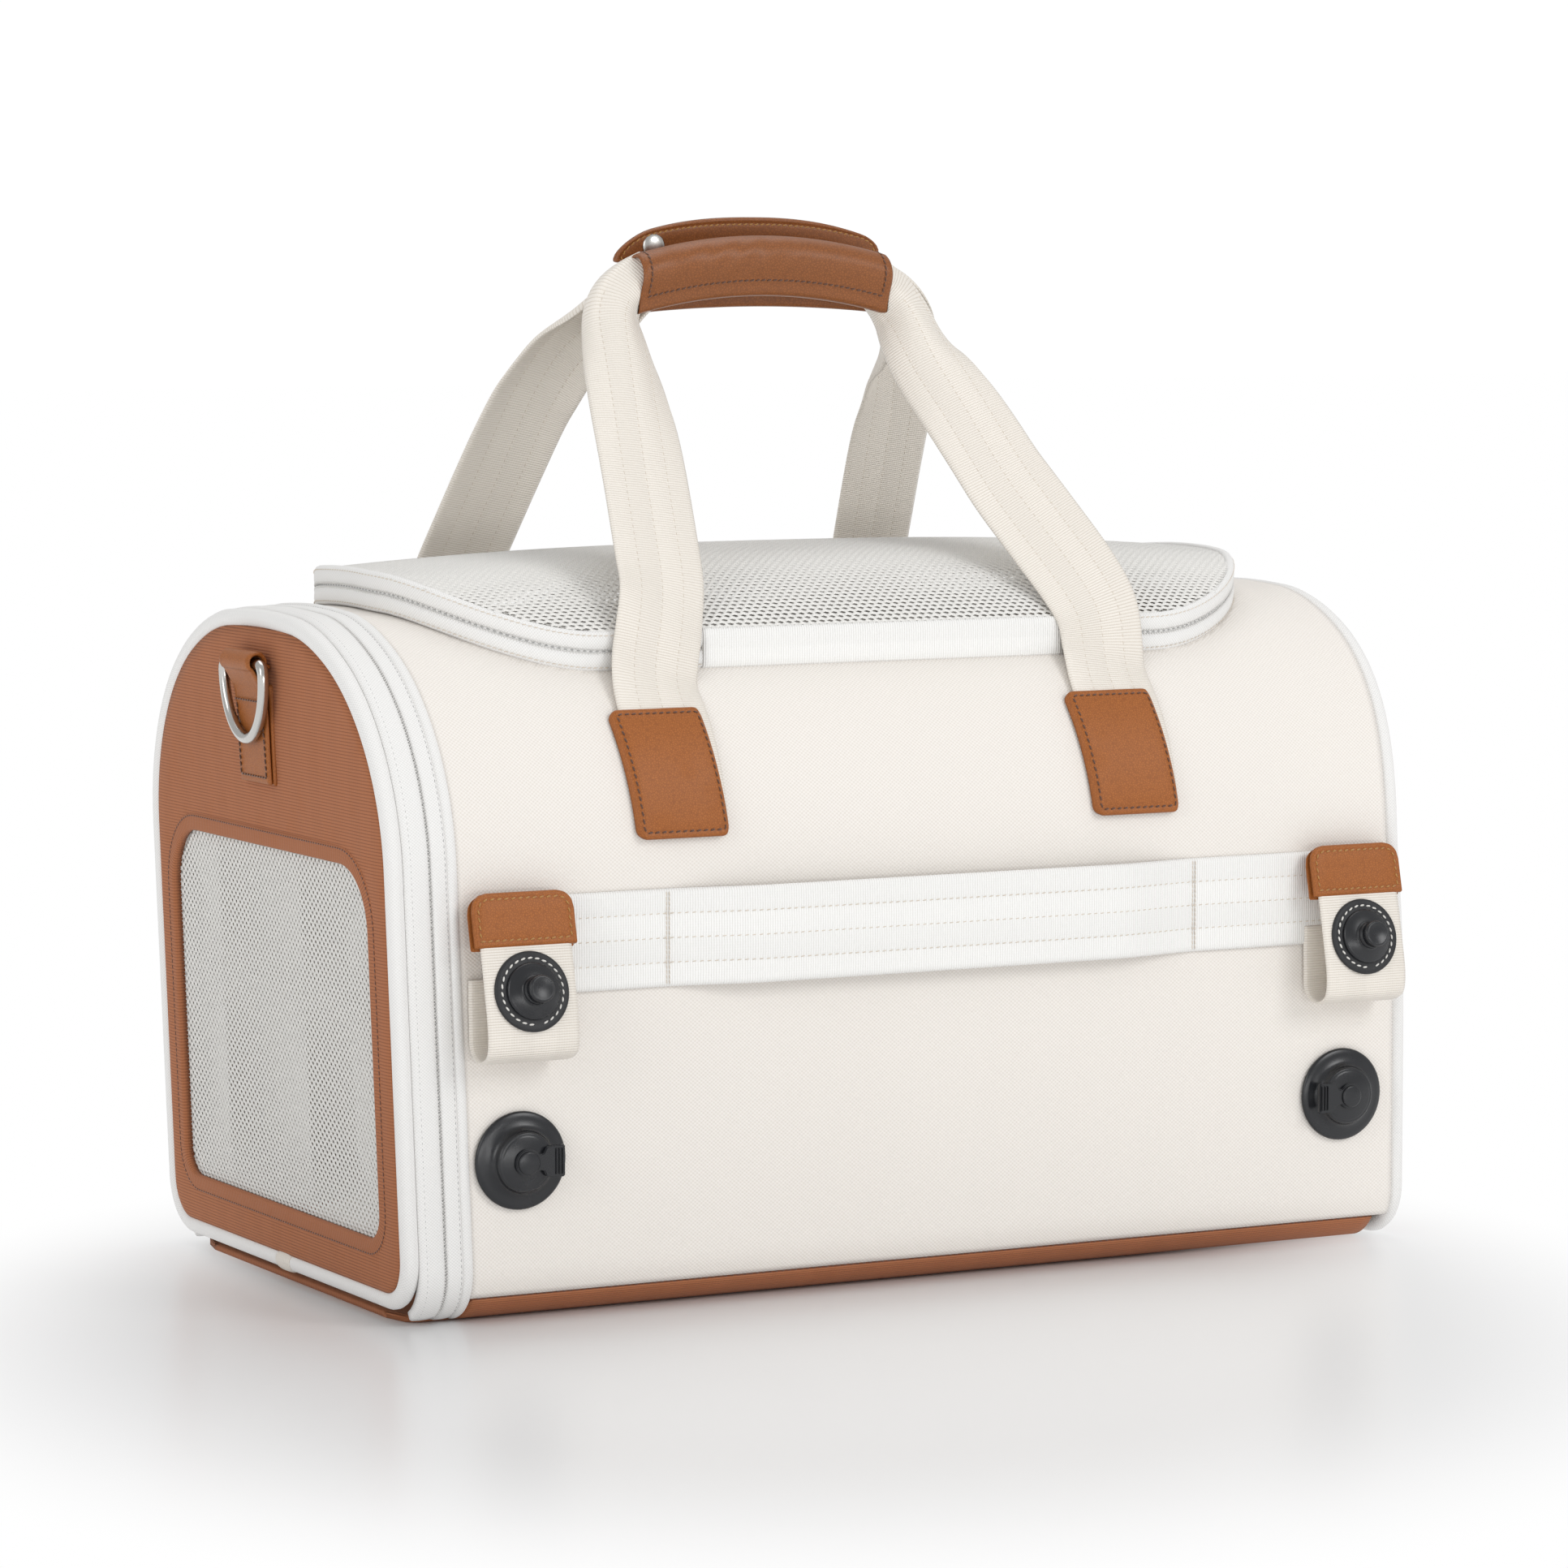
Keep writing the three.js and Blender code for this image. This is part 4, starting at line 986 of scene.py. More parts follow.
def matched(points, centre, targets):
    """For each target, the point of a closed outline that lies in the same direction from centre."""
    angles = np.arctan2(points[:, 1] - centre[1], points[:, 0] - centre[0])
    order = np.argsort(angles)
    wanted = np.arctan2(targets[:, 1] - centre[1], targets[:, 0] - centre[0])
    return np.stack([np.interp(wanted, angles[order], points[order, k], period=math.tau) for k in (0, 1)], 1)


def end_panel(name, floor, x_face, thick, place, body, node, way):
    """way is -1 when the panel faces -x and +1 when it faces +x."""
    inner_edge, _ = window_outline(0)
    outer_points, outer_outs = outline(floor, -math.pi / 2, 2 * MM, closed=True)
    outer_edge = matched(outer_points - outer_outs * (BEAD - 0.6 * MM), (0, 110 * MM), inner_edge)
    rows_out, rows_in = [], []
    for t in np.linspace(0, 1, 15):
        ring = outer_edge * (1 - t) + inner_edge * t
        puff = 1.0 * MM * math.sin(math.pi * t ** 0.8) ** 0.8
        rows_out.append(np.column_stack([np.full(len(ring), x_face + way * puff), ring]))
        rows_in.append(np.column_stack([np.full(len(ring), x_face - way * thick), ring]))
    obj = panel(name, place(np.array(rows_out)), TAN, place(np.array(rows_in)), wrap_cols=True, second=LINING)
    flat_map(obj)
    return settle(obj, body, "tan_fabric", node)


def flat_map(obj):
    """Level ribs: the map is the panel's own width and height."""
    mesh = obj.data
    co = np.zeros(len(mesh.vertices) * 3)
    mesh.vertices.foreach_get("co", co)
    corner = np.zeros(len(mesh.loops), int)
    mesh.loops.foreach_get("vertex_index", corner)
    uv = co.reshape(-1, 3)[corner][:, 1:]
    mesh.uv_layers["cloth"].data.foreach_set("uv", uv.ravel())


def window_binding(name, x_face, place, body, way):
    edge, outs = window_outline(0)
    shape = [(-0.5, -1.8), (-0.9, -0.4), (-0.6, 0.5), (0.3, 0.95), (1.6, 0.9), (3.6, 0.75), (5.4, 0.6),
             (6.2, 0.3), (6.6, -0.8)]
    rows = [np.column_stack([np.full(len(edge), x_face + way * (0.35 + h) * MM), edge + outs * across * MM])
            for across, h in shape]
    obj = panel(name, place(np.stack(rows, 1)), TAN, wrap_rows=True, wrap_cols=True)
    settle(obj, body, "tan_fabric")
    seam, _ = window_outline(5.2 * MM)
    loop = np.vstack([seam, seam[:1]])
    points = place(np.column_stack([np.full(len(loop), x_face + way * 1.0 * MM), loop]))
    sew(body, "tan", points, (way, 0, 0), 2.3 * MM)


PANEL_X = -5 * MM
end_panel("door_panel_cloth", DOOR_FLOOR, PANEL_X, 2.4 * MM, on_door, "door", "door_panel", -1)
window_binding("door_window_binding", PANEL_X, on_door, "door", -1)
FAR_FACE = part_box("end_panel")[1].x
end_panel("end_panel_cloth", 0.4 * MM, FAR_FACE, 2.4 * MM, pinch_far_end, "body", "end_panel", 1)
window_binding("end_window_binding", FAR_FACE, pinch_far_end, "body", 1)
print("windows done")

# %% [markdown]
# ## Spacer mesh
# Air mesh is knitted in rows of small offset holes. It could be a picture of holes, but light and
# the far side should show through. So a flat field of brick-shaped cells is drawn first, a tree
# gives each cell a hole with sloping strands round it, and the field is then laid on its place.

# %% The mesh tree
def make_net_tree():
    tree, given = geometry_tree("spacer_mesh", [("Strand depth", "Float"), ("Hole", "Float"),
                                                ("Yarn", "Material")])
    sunk = put(tree, "GeometryNodeExtrudeMesh", {"Mesh": given["Geometry"],
                                                 "Offset Scale": given["Strand depth"],
                                                 "Individual": True}, mode="FACES")
    shrunk = put(tree, "GeometryNodeScaleElements", {"Geometry": sunk.outputs["Mesh"],
                                                     "Selection": sunk.outputs["Top"],
                                                     "Scale": given["Hole"]}, domain="FACE")
    opened = put(tree, "GeometryNodeDeleteGeometry", {"Geometry": shrunk.outputs[0],
                                                      "Selection": sunk.outputs["Top"]},
                 domain="FACE", mode="ALL")
    real = put(tree, "GeometryNodeRealizeInstances", {0: opened.outputs[0]})
    dyed = put(tree, "GeometryNodeSetMaterial", {"Geometry": real.outputs[0], "Material": given["Yarn"]})
    put(tree, "NodeGroupOutput", {0: dyed.outputs[0]})
    return tree


NET_TREE = make_net_tree()


def cell_field(low, high, wide, row, keep):
    """Brick-shaped six-sided cells between two corners, wherever keep(u, v) is true."""
    index, points, faces = {}, [], []

    def corner(u, v):
        key = (round(u / (wide / 2)), round(v / (row / 3)))
        if key not in index:
            index[key] = len(points)
            points.append((u, v, 0))
        return index[key]

    for r in range(math.ceil((high[1] - low[1]) / row)):
        v = low[1] + r * row
        for c in range(math.ceil((high[0] - low[0]) / wide) + 1):
            u = low[0] + (c + 0.5 * (r % 2)) * wide
            if keep(u, v):
                ring = [(0, -2), (1, -1), (1, 1), (0, 2), (-1, 1), (-1, -1)]
                faces.append([corner(u + a * wide / 2, v + b * row / 3) for a, b in ring])
    mesh = bpy.data.meshes.new("cells")
    mesh.from_pydata(points, [], faces)
    return mesh


def net(name, field, place, body, slot, node, depth=-0.9 * MM, hole=0.62):
    obj = grow(name, NET_TREE, field, {"Strand depth": depth, "Hole": hole, "Yarn": NET})
    mesh = obj.data
    co = np.zeros(len(mesh.vertices) * 3)
    mesh.vertices.foreach_get("co", co)
    flat = co.reshape(-1, 3)
    corner = np.zeros(len(mesh.loops), int)
    mesh.loops.foreach_get("vertex_index", corner)
    layer = mesh.uv_layers.get("cloth") or mesh.uv_layers.new(name="cloth")
    layer.data.foreach_set("uv", flat[corner][:, :2].ravel())
    mesh.vertices.foreach_set("co", place(flat).astype(np.float32).ravel())
    mesh.update()
    settle(obj, body, slot, node)
    print(name, "faces", len(mesh.polygons))
    return obj


def inside_window(u, v, lap):
    half, low, high = WINDOW["half"] + lap, WINDOW["low"] - lap, WINDOW["high"] + lap
    radius = (WINDOW["top"] if v > 100 * MM else WINDOW["bottom"]) + lap
    du, dv = abs(u) - (half - radius), max(v - (high - radius), (low + radius) - v)
    return max(abs(u) - half, v - high, low - v) < 0 and (du < 0 or dv < 0 or math.hypot(du, dv) < radius)


LAP = 3.4 * MM
CELL = (3.7 * MM, 1.62 * MM)


def window_net(name, x, way, place, body, node):
    def lay(flat):
        u, v, w = flat.T
        billow = 1.6 * MM * np.sin(u * 38 + 1.0) * np.sin(v * 31 - 0.6)
        edge = np.clip(np.minimum(WINDOW["half"] - np.abs(u), np.minimum(v - WINDOW["low"],
                                                                         WINDOW["high"] - v))
                       / (30 * MM), 0, 1)
        return place(np.column_stack([x - way * np.abs(billow) * edge + way * w, u, v]))

    low = (-WINDOW["half"] - LAP, WINDOW["low"] - LAP)
    high = (WINDOW["half"] + LAP, WINDOW["high"] + LAP)
    field = cell_field(low, high, *CELL, lambda u, v: inside_window(u, v, LAP))
    obj = net(name, field, lay, body, "mesh_fabric", node, hole=0.7)
    return obj


window_net("door_net", -3.2 * MM, -1, on_door, "door", "door_mesh")
window_net("end_net", SHELL_END + 3.6 * MM, 1, pinch_far_end, "body", "end_mesh")

# %% [markdown]
# ## Lid
# The lid is a dome of the same mesh on a standing band. The band is a zip: the lower tape is sewn
# to the roof, the upper one carries the lid, and the coil runs between them. Along the front edge
# plain woven tape takes the zip's place, and there the lid hinges.

# %% Lid band
HINGE_X = (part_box("lid_hinge_strip")[0].x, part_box("lid_hinge_strip")[1].x)


def roof_z(y):
    beyond = np.maximum(np.abs(y) - FLAT, 0)
    return SPRING_Z + np.sqrt(np.maximum(SHOULDER**2 - beyond**2, 0)) + crown(y)


def lid_path(step=3 * MM):
    """The zip's plan, (x, y), from one end of the hinge round to the other, and its way out."""
    points, outs = [(HINGE_X[1], -LID_HALF)], [(0, -1)]
    left, right = LID_X[0] + LID_CORNER, LID_X[1] - LID_CORNER
    back = LID_HALF - LID_CORNER
    for cx, cy, start in ((right, -back, -90), (right, back, 0), (left, back, 90), (left, -back, 180)):
        for angle in np.radians(np.linspace(start, start + 90, 19)):
            outs.append((math.cos(angle), math.sin(angle)))
            points.append((cx + LID_CORNER * outs[-1][0], cy + LID_CORNER * outs[-1][1]))
    points.append((HINGE_X[0], -LID_HALF))
    outs.append((0, -1))
    points, outs = np.array(points), np.array(outs, float)
    run = distances(points)
    at = np.linspace(0, run[-1], round(run[-1] / step))
    return (np.stack([np.interp(at, run, points[:, k]) for k in (0, 1)], 1),
            np.stack([np.interp(at, run, outs[:, k]) for k in (0, 1)], 1))


def standing(path, outs, profile):
    """A profile of (out, height) pairs that stands on the roof along a plan path."""
    rows = []
    for out, height in profile:
        plan = path + outs * out
        rows.append(np.column_stack([plan, roof_z(path[:, 1]) + height]))
    return np.stack(rows, 1)


lid_line, lid_outs = lid_path()
lower = [(-3.6, 0.2), (-1.2, 0.2), (-0.2, 1.2), (0.15, 4.0), (-0.1, 6.9), (-0.9, 7.6), (-3.6, 7.6)]
upper = [(-3.6, 8.6), (-0.9, 8.6), (-0.1, 9.3), (0.15, 11.8), (0.0, 14.4), (-0.5, 15.4), (-1.6, 15.9),
         (-3.8, 15.5), (-3.8, 14.2), (-2.4, 13.4), (-2.4, 9.8)]
scaled = lambda profile: [(a * MM, b * MM) for a, b in profile]
lid_tape_low = panel("lid_zip_tape_lower", standing(lid_line, lid_outs, scaled(lower)), TAPE,
                     wrap_cols=True, caps=True)
settle(lid_tape_low, "body", "zip_tape", "lid_zip_band_body")
lid_tape_high = panel("lid_zip_tape_upper", standing(lid_line, lid_outs, scaled(upper)), TAPE,
                      wrap_cols=True, caps=True)
settle(lid_tape_high, "lid", "zip_tape", "lid_zip_band")


lid_core = [(-2.6, 7.2), (-1.0, 7.2), (-1.0, 9.0), (-2.6, 9.0)]
lid_chain = panel("lid_zip_chain", standing(lid_line, lid_outs, scaled(lid_core)), TAPE, wrap_cols=True,
                  caps=True)
settle(lid_chain, "body", "zip_tape")


def note_lid(carrier, kind, out, height, pitch):
    plan = lid_line + lid_outs * out
    points = np.column_stack([plan, roof_z(lid_line[:, 1]) + height])
    sew(carrier, kind, points, np.column_stack([lid_outs, np.zeros(len(lid_outs))]), pitch)


note_lid("body", "coil", -0.35 * MM, 7.1 * MM, 1.25 * MM)
note_lid("lid", "coil", -0.35 * MM, 9.1 * MM, 1.25 * MM)
note_lid("body", "chain", -0.85 * MM, 8.1 * MM, 2.6 * MM)
note_lid("body", "cream", 0.1 * MM, 1.7 * MM, 2.4 * MM)
note_lid("lid", "cream", 0.1 * MM, 14.2 * MM, 2.4 * MM)

# %% Hinge strip and dome
strip_x = np.linspace(HINGE_X[0], HINGE_X[1], 60)
strip_line = np.column_stack([strip_x, np.full(60, -LID_HALF)])
strip_outs = np.tile((0.0, -1.0), (60, 1))
strip_profile = [(-2.2, 0.2), (-0.6, 0.1), (0.1, 1.2), (0.3, 4), (0.3, 8), (0.3, 12), (0.0, 14.6),
                 (-0.7, 15.8),
                 (-2.6, 15.6), (-2.6, 12), (-1.6, 8), (-1.6, 3)]
# The hinge tape takes the lighter copy of the cream webbing, whose extra brightness is painted highlight.
hinge_strip = panel("lid_hinge_tape", standing(strip_line, strip_outs, scaled(strip_profile)), HIGHLIT_WEB,
                    wrap_cols=True, caps=True)
settle(hinge_strip, None, "cream_webbing", "lid_hinge_strip")
roof_z(LID_HALF) + 1 * MM
roof_z(LID_HALF) + 12 * MM
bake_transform(hinge_strip)

DOME = 14.4 * MM
PUFF = 7 * MM
LID_LAP = 1.4 * MM
LID_CELL = (3.7 * MM, 2.0 * MM)
arch_y = np.linspace(-LID_HALF - 6 * MM, LID_HALF + 6 * MM, 400)
arch_run = distances(np.column_stack([arch_y, roof_z(arch_y)]))
arch_run -= arch_run[-1] / 2


def lay_on_roof(flat):
    """Lays a flat cloth over the roof's arch: its second number is the distance over the arch."""
    x, run, w = flat.T
    y = np.interp(run, arch_run, arch_y)
    middle = (LID_X[0] + LID_X[1]) / 2
    long = 1 - np.clip(np.abs(x - middle) / ((LID_X[1] - LID_X[0]) / 2), 0, 1) ** 2.6
    wide = 1 - np.clip(np.abs(y) / LID_HALF, 0, 1) ** 2.6
    return np.column_stack([x, y, roof_z(y) + DOME + PUFF * long * wide + w])


def inside_lid(x, run):
    return lid_distance(x, float(np.interp(run, arch_run, arch_y)), LID_LAP)[0] < 0


lid_field = cell_field((LID_X[0], arch_run[0]), (LID_X[1], arch_run[-1]), *LID_CELL, inside_lid)
lid_net = net("lid_net", lid_field, lay_on_roof, "lid", "mesh_fabric", "lid_mesh", -0.8 * MM, 0.68)
print("lid zip length", round(distances(lid_line)[-1], 3))

# %% [markdown]
# ## Webbing straps
# A strap keeps its width: where it seems to narrow, at the grips, it curls. So each strap is a
# ribbon of constant width that follows the frame's strap, and its section bends into an arc as
# the frame's strap narrows. Three rows of stitches press soft channels into it. Its lower end goes
# under the leather patch. The strap is one fixed piece; where it would part is only noted in a table.

# %% Stations of a strap in the frame
def stations(node):
    """Centre and width of each section of a frame strap, from its foot up."""
    mesh = frame["nodes"][node].data
    corners = np.unique(np.round([v.co for v in mesh.vertices], 6), axis=0)
    left = list(corners[np.argsort(corners[:, 2])])
    ring, left = left[:4], left[4:]
    found = []
    while True:
        by_x = np.array(sorted(ring, key=lambda c: c[0]))
        width = np.linalg.norm(by_x[2:].mean(0) - by_x[:2].mean(0))
        found.append((by_x.mean(0), float(width)))
        if len(left) < 4:
            return found
        picked = []
        for corner in ring:
            nearest = int(np.argmin(np.linalg.norm(np.array(left) - corner, axis=1)))
            picked.append(left.pop(nearest))
        ring = picked


def smooth_curve(knots, step):
    """A smooth curve through knots of any dimension, about one point per step."""
    knots = np.asarray(knots, float)
    padded = np.vstack([2 * knots[0] - knots[1], knots, 2 * knots[-1] - knots[-2]])
    out = []
    for k in range(1, len(padded) - 2):
        p0, p1, p2, p3 = padded[k - 1:k + 3]
        count = max(2, math.ceil(np.linalg.norm(p2[:3] - p1[:3]) / step))
        for t in np.arange(count) / count:
            out.append(0.5 * (2 * p1 + (p2 - p0) * t + (2 * p0 - 5 * p1 + 4 * p2 - p3) * t**2
                              + (3 * p1 - p0 - 3 * p2 + p3) * t**3))
    return np.vstack([out, knots[-1:]])


def relaxed(knots, step, blur):
    """Knots joined up, taken at even steps and smoothed, as a strap smooths itself under tension."""
    knots = np.asarray(knots, float)
    run = distances(knots[:, :3])
    at = np.linspace(0, run[-1], round(run[-1] / step) + 1)
    line = np.stack([np.interp(at, run, column) for column in knots.T], 1)
    reach = math.ceil(3 * blur / step)
    kernel = np.exp(-0.5 * (np.arange(-reach, reach + 1) * step / blur) ** 2)
    before, after = 2 * line[0] - line[reach:0:-1], 2 * line[-1] - line[-2:-reach - 2:-1]
    longer = np.vstack([before, line, after])
    return np.stack([np.convolve(column, kernel / kernel.sum(), "valid") for column in longer.T], 1)


STRAP_WIDTH = 38 * MM
STRAP_THICK = 1.5 * MM
CHANNELS = (-9.5 * MM, 0.0, 9.5 * MM)


def curl_for(width):
    """The angle of arc that makes a strap of full width look this wide."""
    angles = np.linspace(0.01, 1.9 * math.pi, 200)
    seen = STRAP_WIDTH * np.sin(angles / 2) / (angles / 2)
    return np.interp(-width, -seen, angles)


def ribbon(centres, sideways, outward, widths, thick, bend_to=1):
    """Outer and inner grids of a strap that curls where it narrows."""
    outer, inner = [], []
    across = np.linspace(-0.5, 0.5, 29) * STRAP_WIDTH
    channel = sum(np.exp(-(((across - c) / (1.3 * MM)) ** 2)) for c in CHANNELS)
    edge = np.clip((STRAP_WIDTH / 2 - np.abs(across)) / (1.2 * MM), 0, 1) ** 0.5
    for centre, side, out, width in zip(centres, sideways, outward, widths):
        angle = float(curl_for(width))
        radius = STRAP_WIDTH / angle
        turn = across / STRAP_WIDTH * angle
        u = radius * np.sin(turn)
        w = -bend_to * radius * (1 - np.cos(turn))
        narrow = smoothstep(1 - width / STRAP_WIDTH, 0.12, 0.5)
        w = w - w.mean() * 0.6 + 0.9 * MM * narrow * np.cos(across / STRAP_WIDTH * 5 * math.pi)
        normal_u, normal_w = bend_to * np.sin(turn), np.cos(turn)
        rise = thick * (0.5 * (0.35 + 0.65 * edge)) + 0.25 * MM * (1 - channel) * edge
        outer.append([centre + side * (a + nu * r) + out * (b + nw * r)
                      for a, b, nu, nw, r in zip(u, w, normal_u, normal_w, rise)])
        inner.append([centre + side * (a - nu * r) + out * (b - nw * r)
                      for a, b, nu, nw, r in zip(u, w, normal_u, normal_w, rise)])
    return np.array(outer), np.array(inner)


# %% Build the four handle straps
PATCH_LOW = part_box("front_patch_left")[0].z


def shoulder_point(run, lift, side):
    """A point of the wall or shoulder, (y, z), at a distance above the shoulder's foot."""
    if run < 0:
        return side * (HALF + lift), SPRING_Z + run
    angle = run / SHOULDER
    return (side * (FLAT + (SHOULDER + lift) * math.cos(angle)),
            SPRING_Z + (SHOULDER + lift) * math.sin(angle))


def handle_strap(name, node, side, grip):
    """A strap from under its patch to inside the end of its grip."""
    found = stations(node)
    grip_low, grip_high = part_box(grip)
    into = 1 if found[0][0][0] < 0 else -1
    grip_x = grip_low.x if into > 0 else grip_high.x
    grip_y = (grip_low.y + grip_high.y) / 2
    knots = []
    for run in np.linspace((PATCH_LOW - SPRING_Z) + 6 * MM, 57 * MM, 14):
        y, z = shoulder_point(run, 1.5 * MM, side)
        knots.append(np.array([found[0][0][0], y, z, STRAP_WIDTH]))
    knots += [np.append(c, w) for c, w in found[1:-1]]
    middle_z = (grip_low.z + grip_high.z) / 2
    knots.append(np.array([grip_x - into * 9 * MM, grip_y * 0.7 + found[-1][0][1] * 0.3, middle_z - 13 * MM,
                           21 * MM]))
    knots.append(np.array([grip_x - into * 1 * MM, grip_y, middle_z - 4 * MM, 16 * MM]))
    knots.append(np.array([grip_x + into * 9 * MM, grip_y, middle_z + 1 * MM, 14 * MM]))
    curve = relaxed(knots, 2.5 * MM, 6 * MM)
    centres, widths = curve[:, :3], np.minimum(relaxed(knots, 2.5 * MM, 15 * MM)[:, 3], STRAP_WIDTH)
    tangents = np.gradient(centres, axis=0)
    tangents /= np.linalg.norm(tangents, axis=1, keepdims=True)
    away = np.array([0, side, 0.0])
    outward = away - tangents * (tangents @ away)[:, None]
    outward /= np.linalg.norm(outward, axis=1, keepdims=True)
    sideways = np.cross(tangents, outward)
    outer, inner = ribbon(centres, sideways, outward, widths, STRAP_THICK)
    obj = panel(name, outer, WEB, inner)
    settle(obj, None, "cream_webbing", node)
    for channel in CHANNELS:
        column = int(round((channel / STRAP_WIDTH + 0.5) * 28))
        for grid, sign in ((outer, 1), (inner, -1)):
            sew(name, "cream", grid[15:-8, column], outward[15:-8] * sign, 3.0 * MM, -0.05 * MM)
    return obj


BENDS = {}
for name, node, body, side in (
        ("handle_strap_front_left", "front_strap_left", "front_handle", -1),
        ("handle_strap_front_right", "front_strap_right", "front_handle", -1),
        ("handle_strap_rear_left", "rear_strap_left", "rear_handle", 1),
        ("handle_strap_rear_right", "rear_strap_right", "rear_handle", 1)):
    obj = handle_strap(name, node, side, body.replace("handle", "grip"))
    start = (0, side * 105.5 * MM, 231.5 * MM)
    end = (0, side * 97 * MM, 239.5 * MM)
    BENDS[name] = ("body", body, start, end)
    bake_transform(obj)
    print(name, "faces", len(obj.data.polygons))

# %% [markdown]
# ## Leather pieces
# Patches, tabs and the grip's flap are cut from leather, with rounded corners, a soft edge and a
# row of stitches sunk near the rim. One function makes them all: a square grid whose corner cells
# are drawn into arcs, raised by a small profile from the edge inward, and laid on any surface.

# %% Stitched leather
RIM = [0.0, 0.25, 0.7, 1.3, 2.0, 2.6, 3.2, 4.0]
RISE = [0.0, 0.55, 0.9, 1.0, 0.92, 0.78, 0.92, 1.0]


def cut_lines(length, step):
    """Grid lines across a piece: close together near both edges, even in the middle."""
    edge = np.array(RIM) * MM
    count = max(2, round((length - 2 * edge[-1]) / step))
    middle = np.linspace(edge[-1], length - edge[-1], count + 1)[1:-1]
    return np.concatenate([edge, middle, length - edge[::-1]])


def round_corners(u, v, width, height, radii):
    """Draws the corner squares of a cut into arcs. radii are left-low, right-low, right-high, left-high."""
    u, v = u.copy(), v.copy()
    centres = ((0, 0), (1, 0), (1, 1), (0, 1))
    for (right, high), radius in zip(centres, radii):
        cu, cv = (width - radius if right else radius), (height - radius if high else radius)
        du, dv = (u - cu) * (1 if right else -1), (v - cv) * (1 if high else -1)
        corner = (du > 0) & (dv > 0)
        reach = np.maximum(du, dv)
        length = np.hypot(du, dv) + 1e-12
        u = np.where(corner, cu + (u - cu) * reach / length, u)
        v = np.where(corner, cv + (v - cv) * reach / length, v)
    return u, v


def leather_cut(name, width, height, radii, thick, place, material, step=3 * MM):
    """place(u, v, h) gives the 3-D points of flat cut points u, v at a height h above the surface."""
    us, vs = cut_lines(width, step), cut_lines(height, step)
    u, v = np.meshgrid(us, vs, indexing="xy")
    depth = np.minimum(np.minimum(u, width - u), np.minimum(v, height - v))
    height_now = thick * np.interp(depth / MM, RIM, RISE)
    u, v = round_corners(u, v, width, height, radii)
    outer, inner = place(u, v, height_now), place(u, v, np.zeros_like(u))
    return panel(name, outer, material, inner)


def seam_round(width, height, radii, inset, step=1 * MM):
    """A closed seam line that runs inset from the edge of a cut, flat."""
    points = []
    for (right, high), radius, start in zip(((1, 0), (1, 1), (0, 1), (0, 0)),
                                            (radii[1], radii[2], radii[3], radii[0]), (-90, 0, 90, 180)):
        small = max(radius - inset, 0.3 * MM)
        cu = width - inset - small if right else inset + small
        cv = height - inset - small if high else inset + small
        for angle in np.radians(np.linspace(start, start + 90, 7)):
            points.append((cu + small * math.cos(angle), cv + small * math.sin(angle)))
    points = np.array(points + points[:1])
    run = distances(points)
    at = np.linspace(0, run[-1], max(8, round(run[-1] / step)))
    return np.stack([np.interp(at, run, points[:, k]) for k in (0, 1)], 1)


def sew_round(carrier, kind, place, width, height, radii, thick, inset=2.6 * MM, pitch=3.0 * MM):
    flat = seam_round(width, height, radii, inset)
    low = place(flat[:, 0], flat[:, 1], np.full(len(flat), 0.0))
    high = place(flat[:, 0], flat[:, 1], np.full(len(flat), thick * 0.9))
    facing = (high - low) / np.linalg.norm(high - low, axis=1, keepdims=True)
    sew(carrier, kind, high, facing, pitch)


# %% Handle patches
PATCH_WIDTH = 40 * MM
PATCH_FROM = (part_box("front_patch_left")[0].z - SPRING_Z)
PATCH_TO = SHOULDER * math.asin((230.5 * MM - SPRING_Z) / SHOULDER)


PATCH_LEAN = -4 * MM


def patch_place(x_middle, side):
    lean = PATCH_LEAN if side < 0 else 0.0

    def place(u, v, h):
        run = PATCH_FROM + v
        angle = np.clip(run, 0, None) / SHOULDER
        lift = SHOULDER + 0.5 * MM + h + 1.6 * MM * smoothstep(1 - np.abs(u / PATCH_WIDTH - 0.5) * 2, 0.0,
                                                               0.14)
        y = side * (FLAT + lift * np.cos(angle))
        z = SPRING_Z + lift * np.sin(angle) + np.minimum(run, 0)
        return np.stack([x_middle - PATCH_WIDTH / 2 + u + lean * v / (PATCH_TO - PATCH_FROM), y, z], -1)
    return place


for row, side in (("front", -1), ("rear", 1)):
    for end in ("left", "right"):
        node = f"{row}_patch_{end}"
        low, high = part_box(node)
        place = patch_place((low.x + high.x) / 2, side)
        height = PATCH_TO - PATCH_FROM
        radii = (4 * MM,) * 4
        obj = leather_cut(f"leather_patch_{row}_{end}", PATCH_WIDTH, height, radii, 1.5 * MM, place, LEATHER)
        settle(obj, "body", "brown_leather", node)
        sew_round("body", "brown", place, PATCH_WIDTH, height, radii, 1.5 * MM)
print("patch height", round(PATCH_TO - PATCH_FROM, 4))

# %% [markdown]
# ## Grips
# The near grip is leather rolled round both webbing ends and sewn along its lower edge, so its
# section is a drop: a thin flat flange below and a round roll above. It is bowed upward between
# its ends. Slanting creases show where the leather is pulled round the bow.

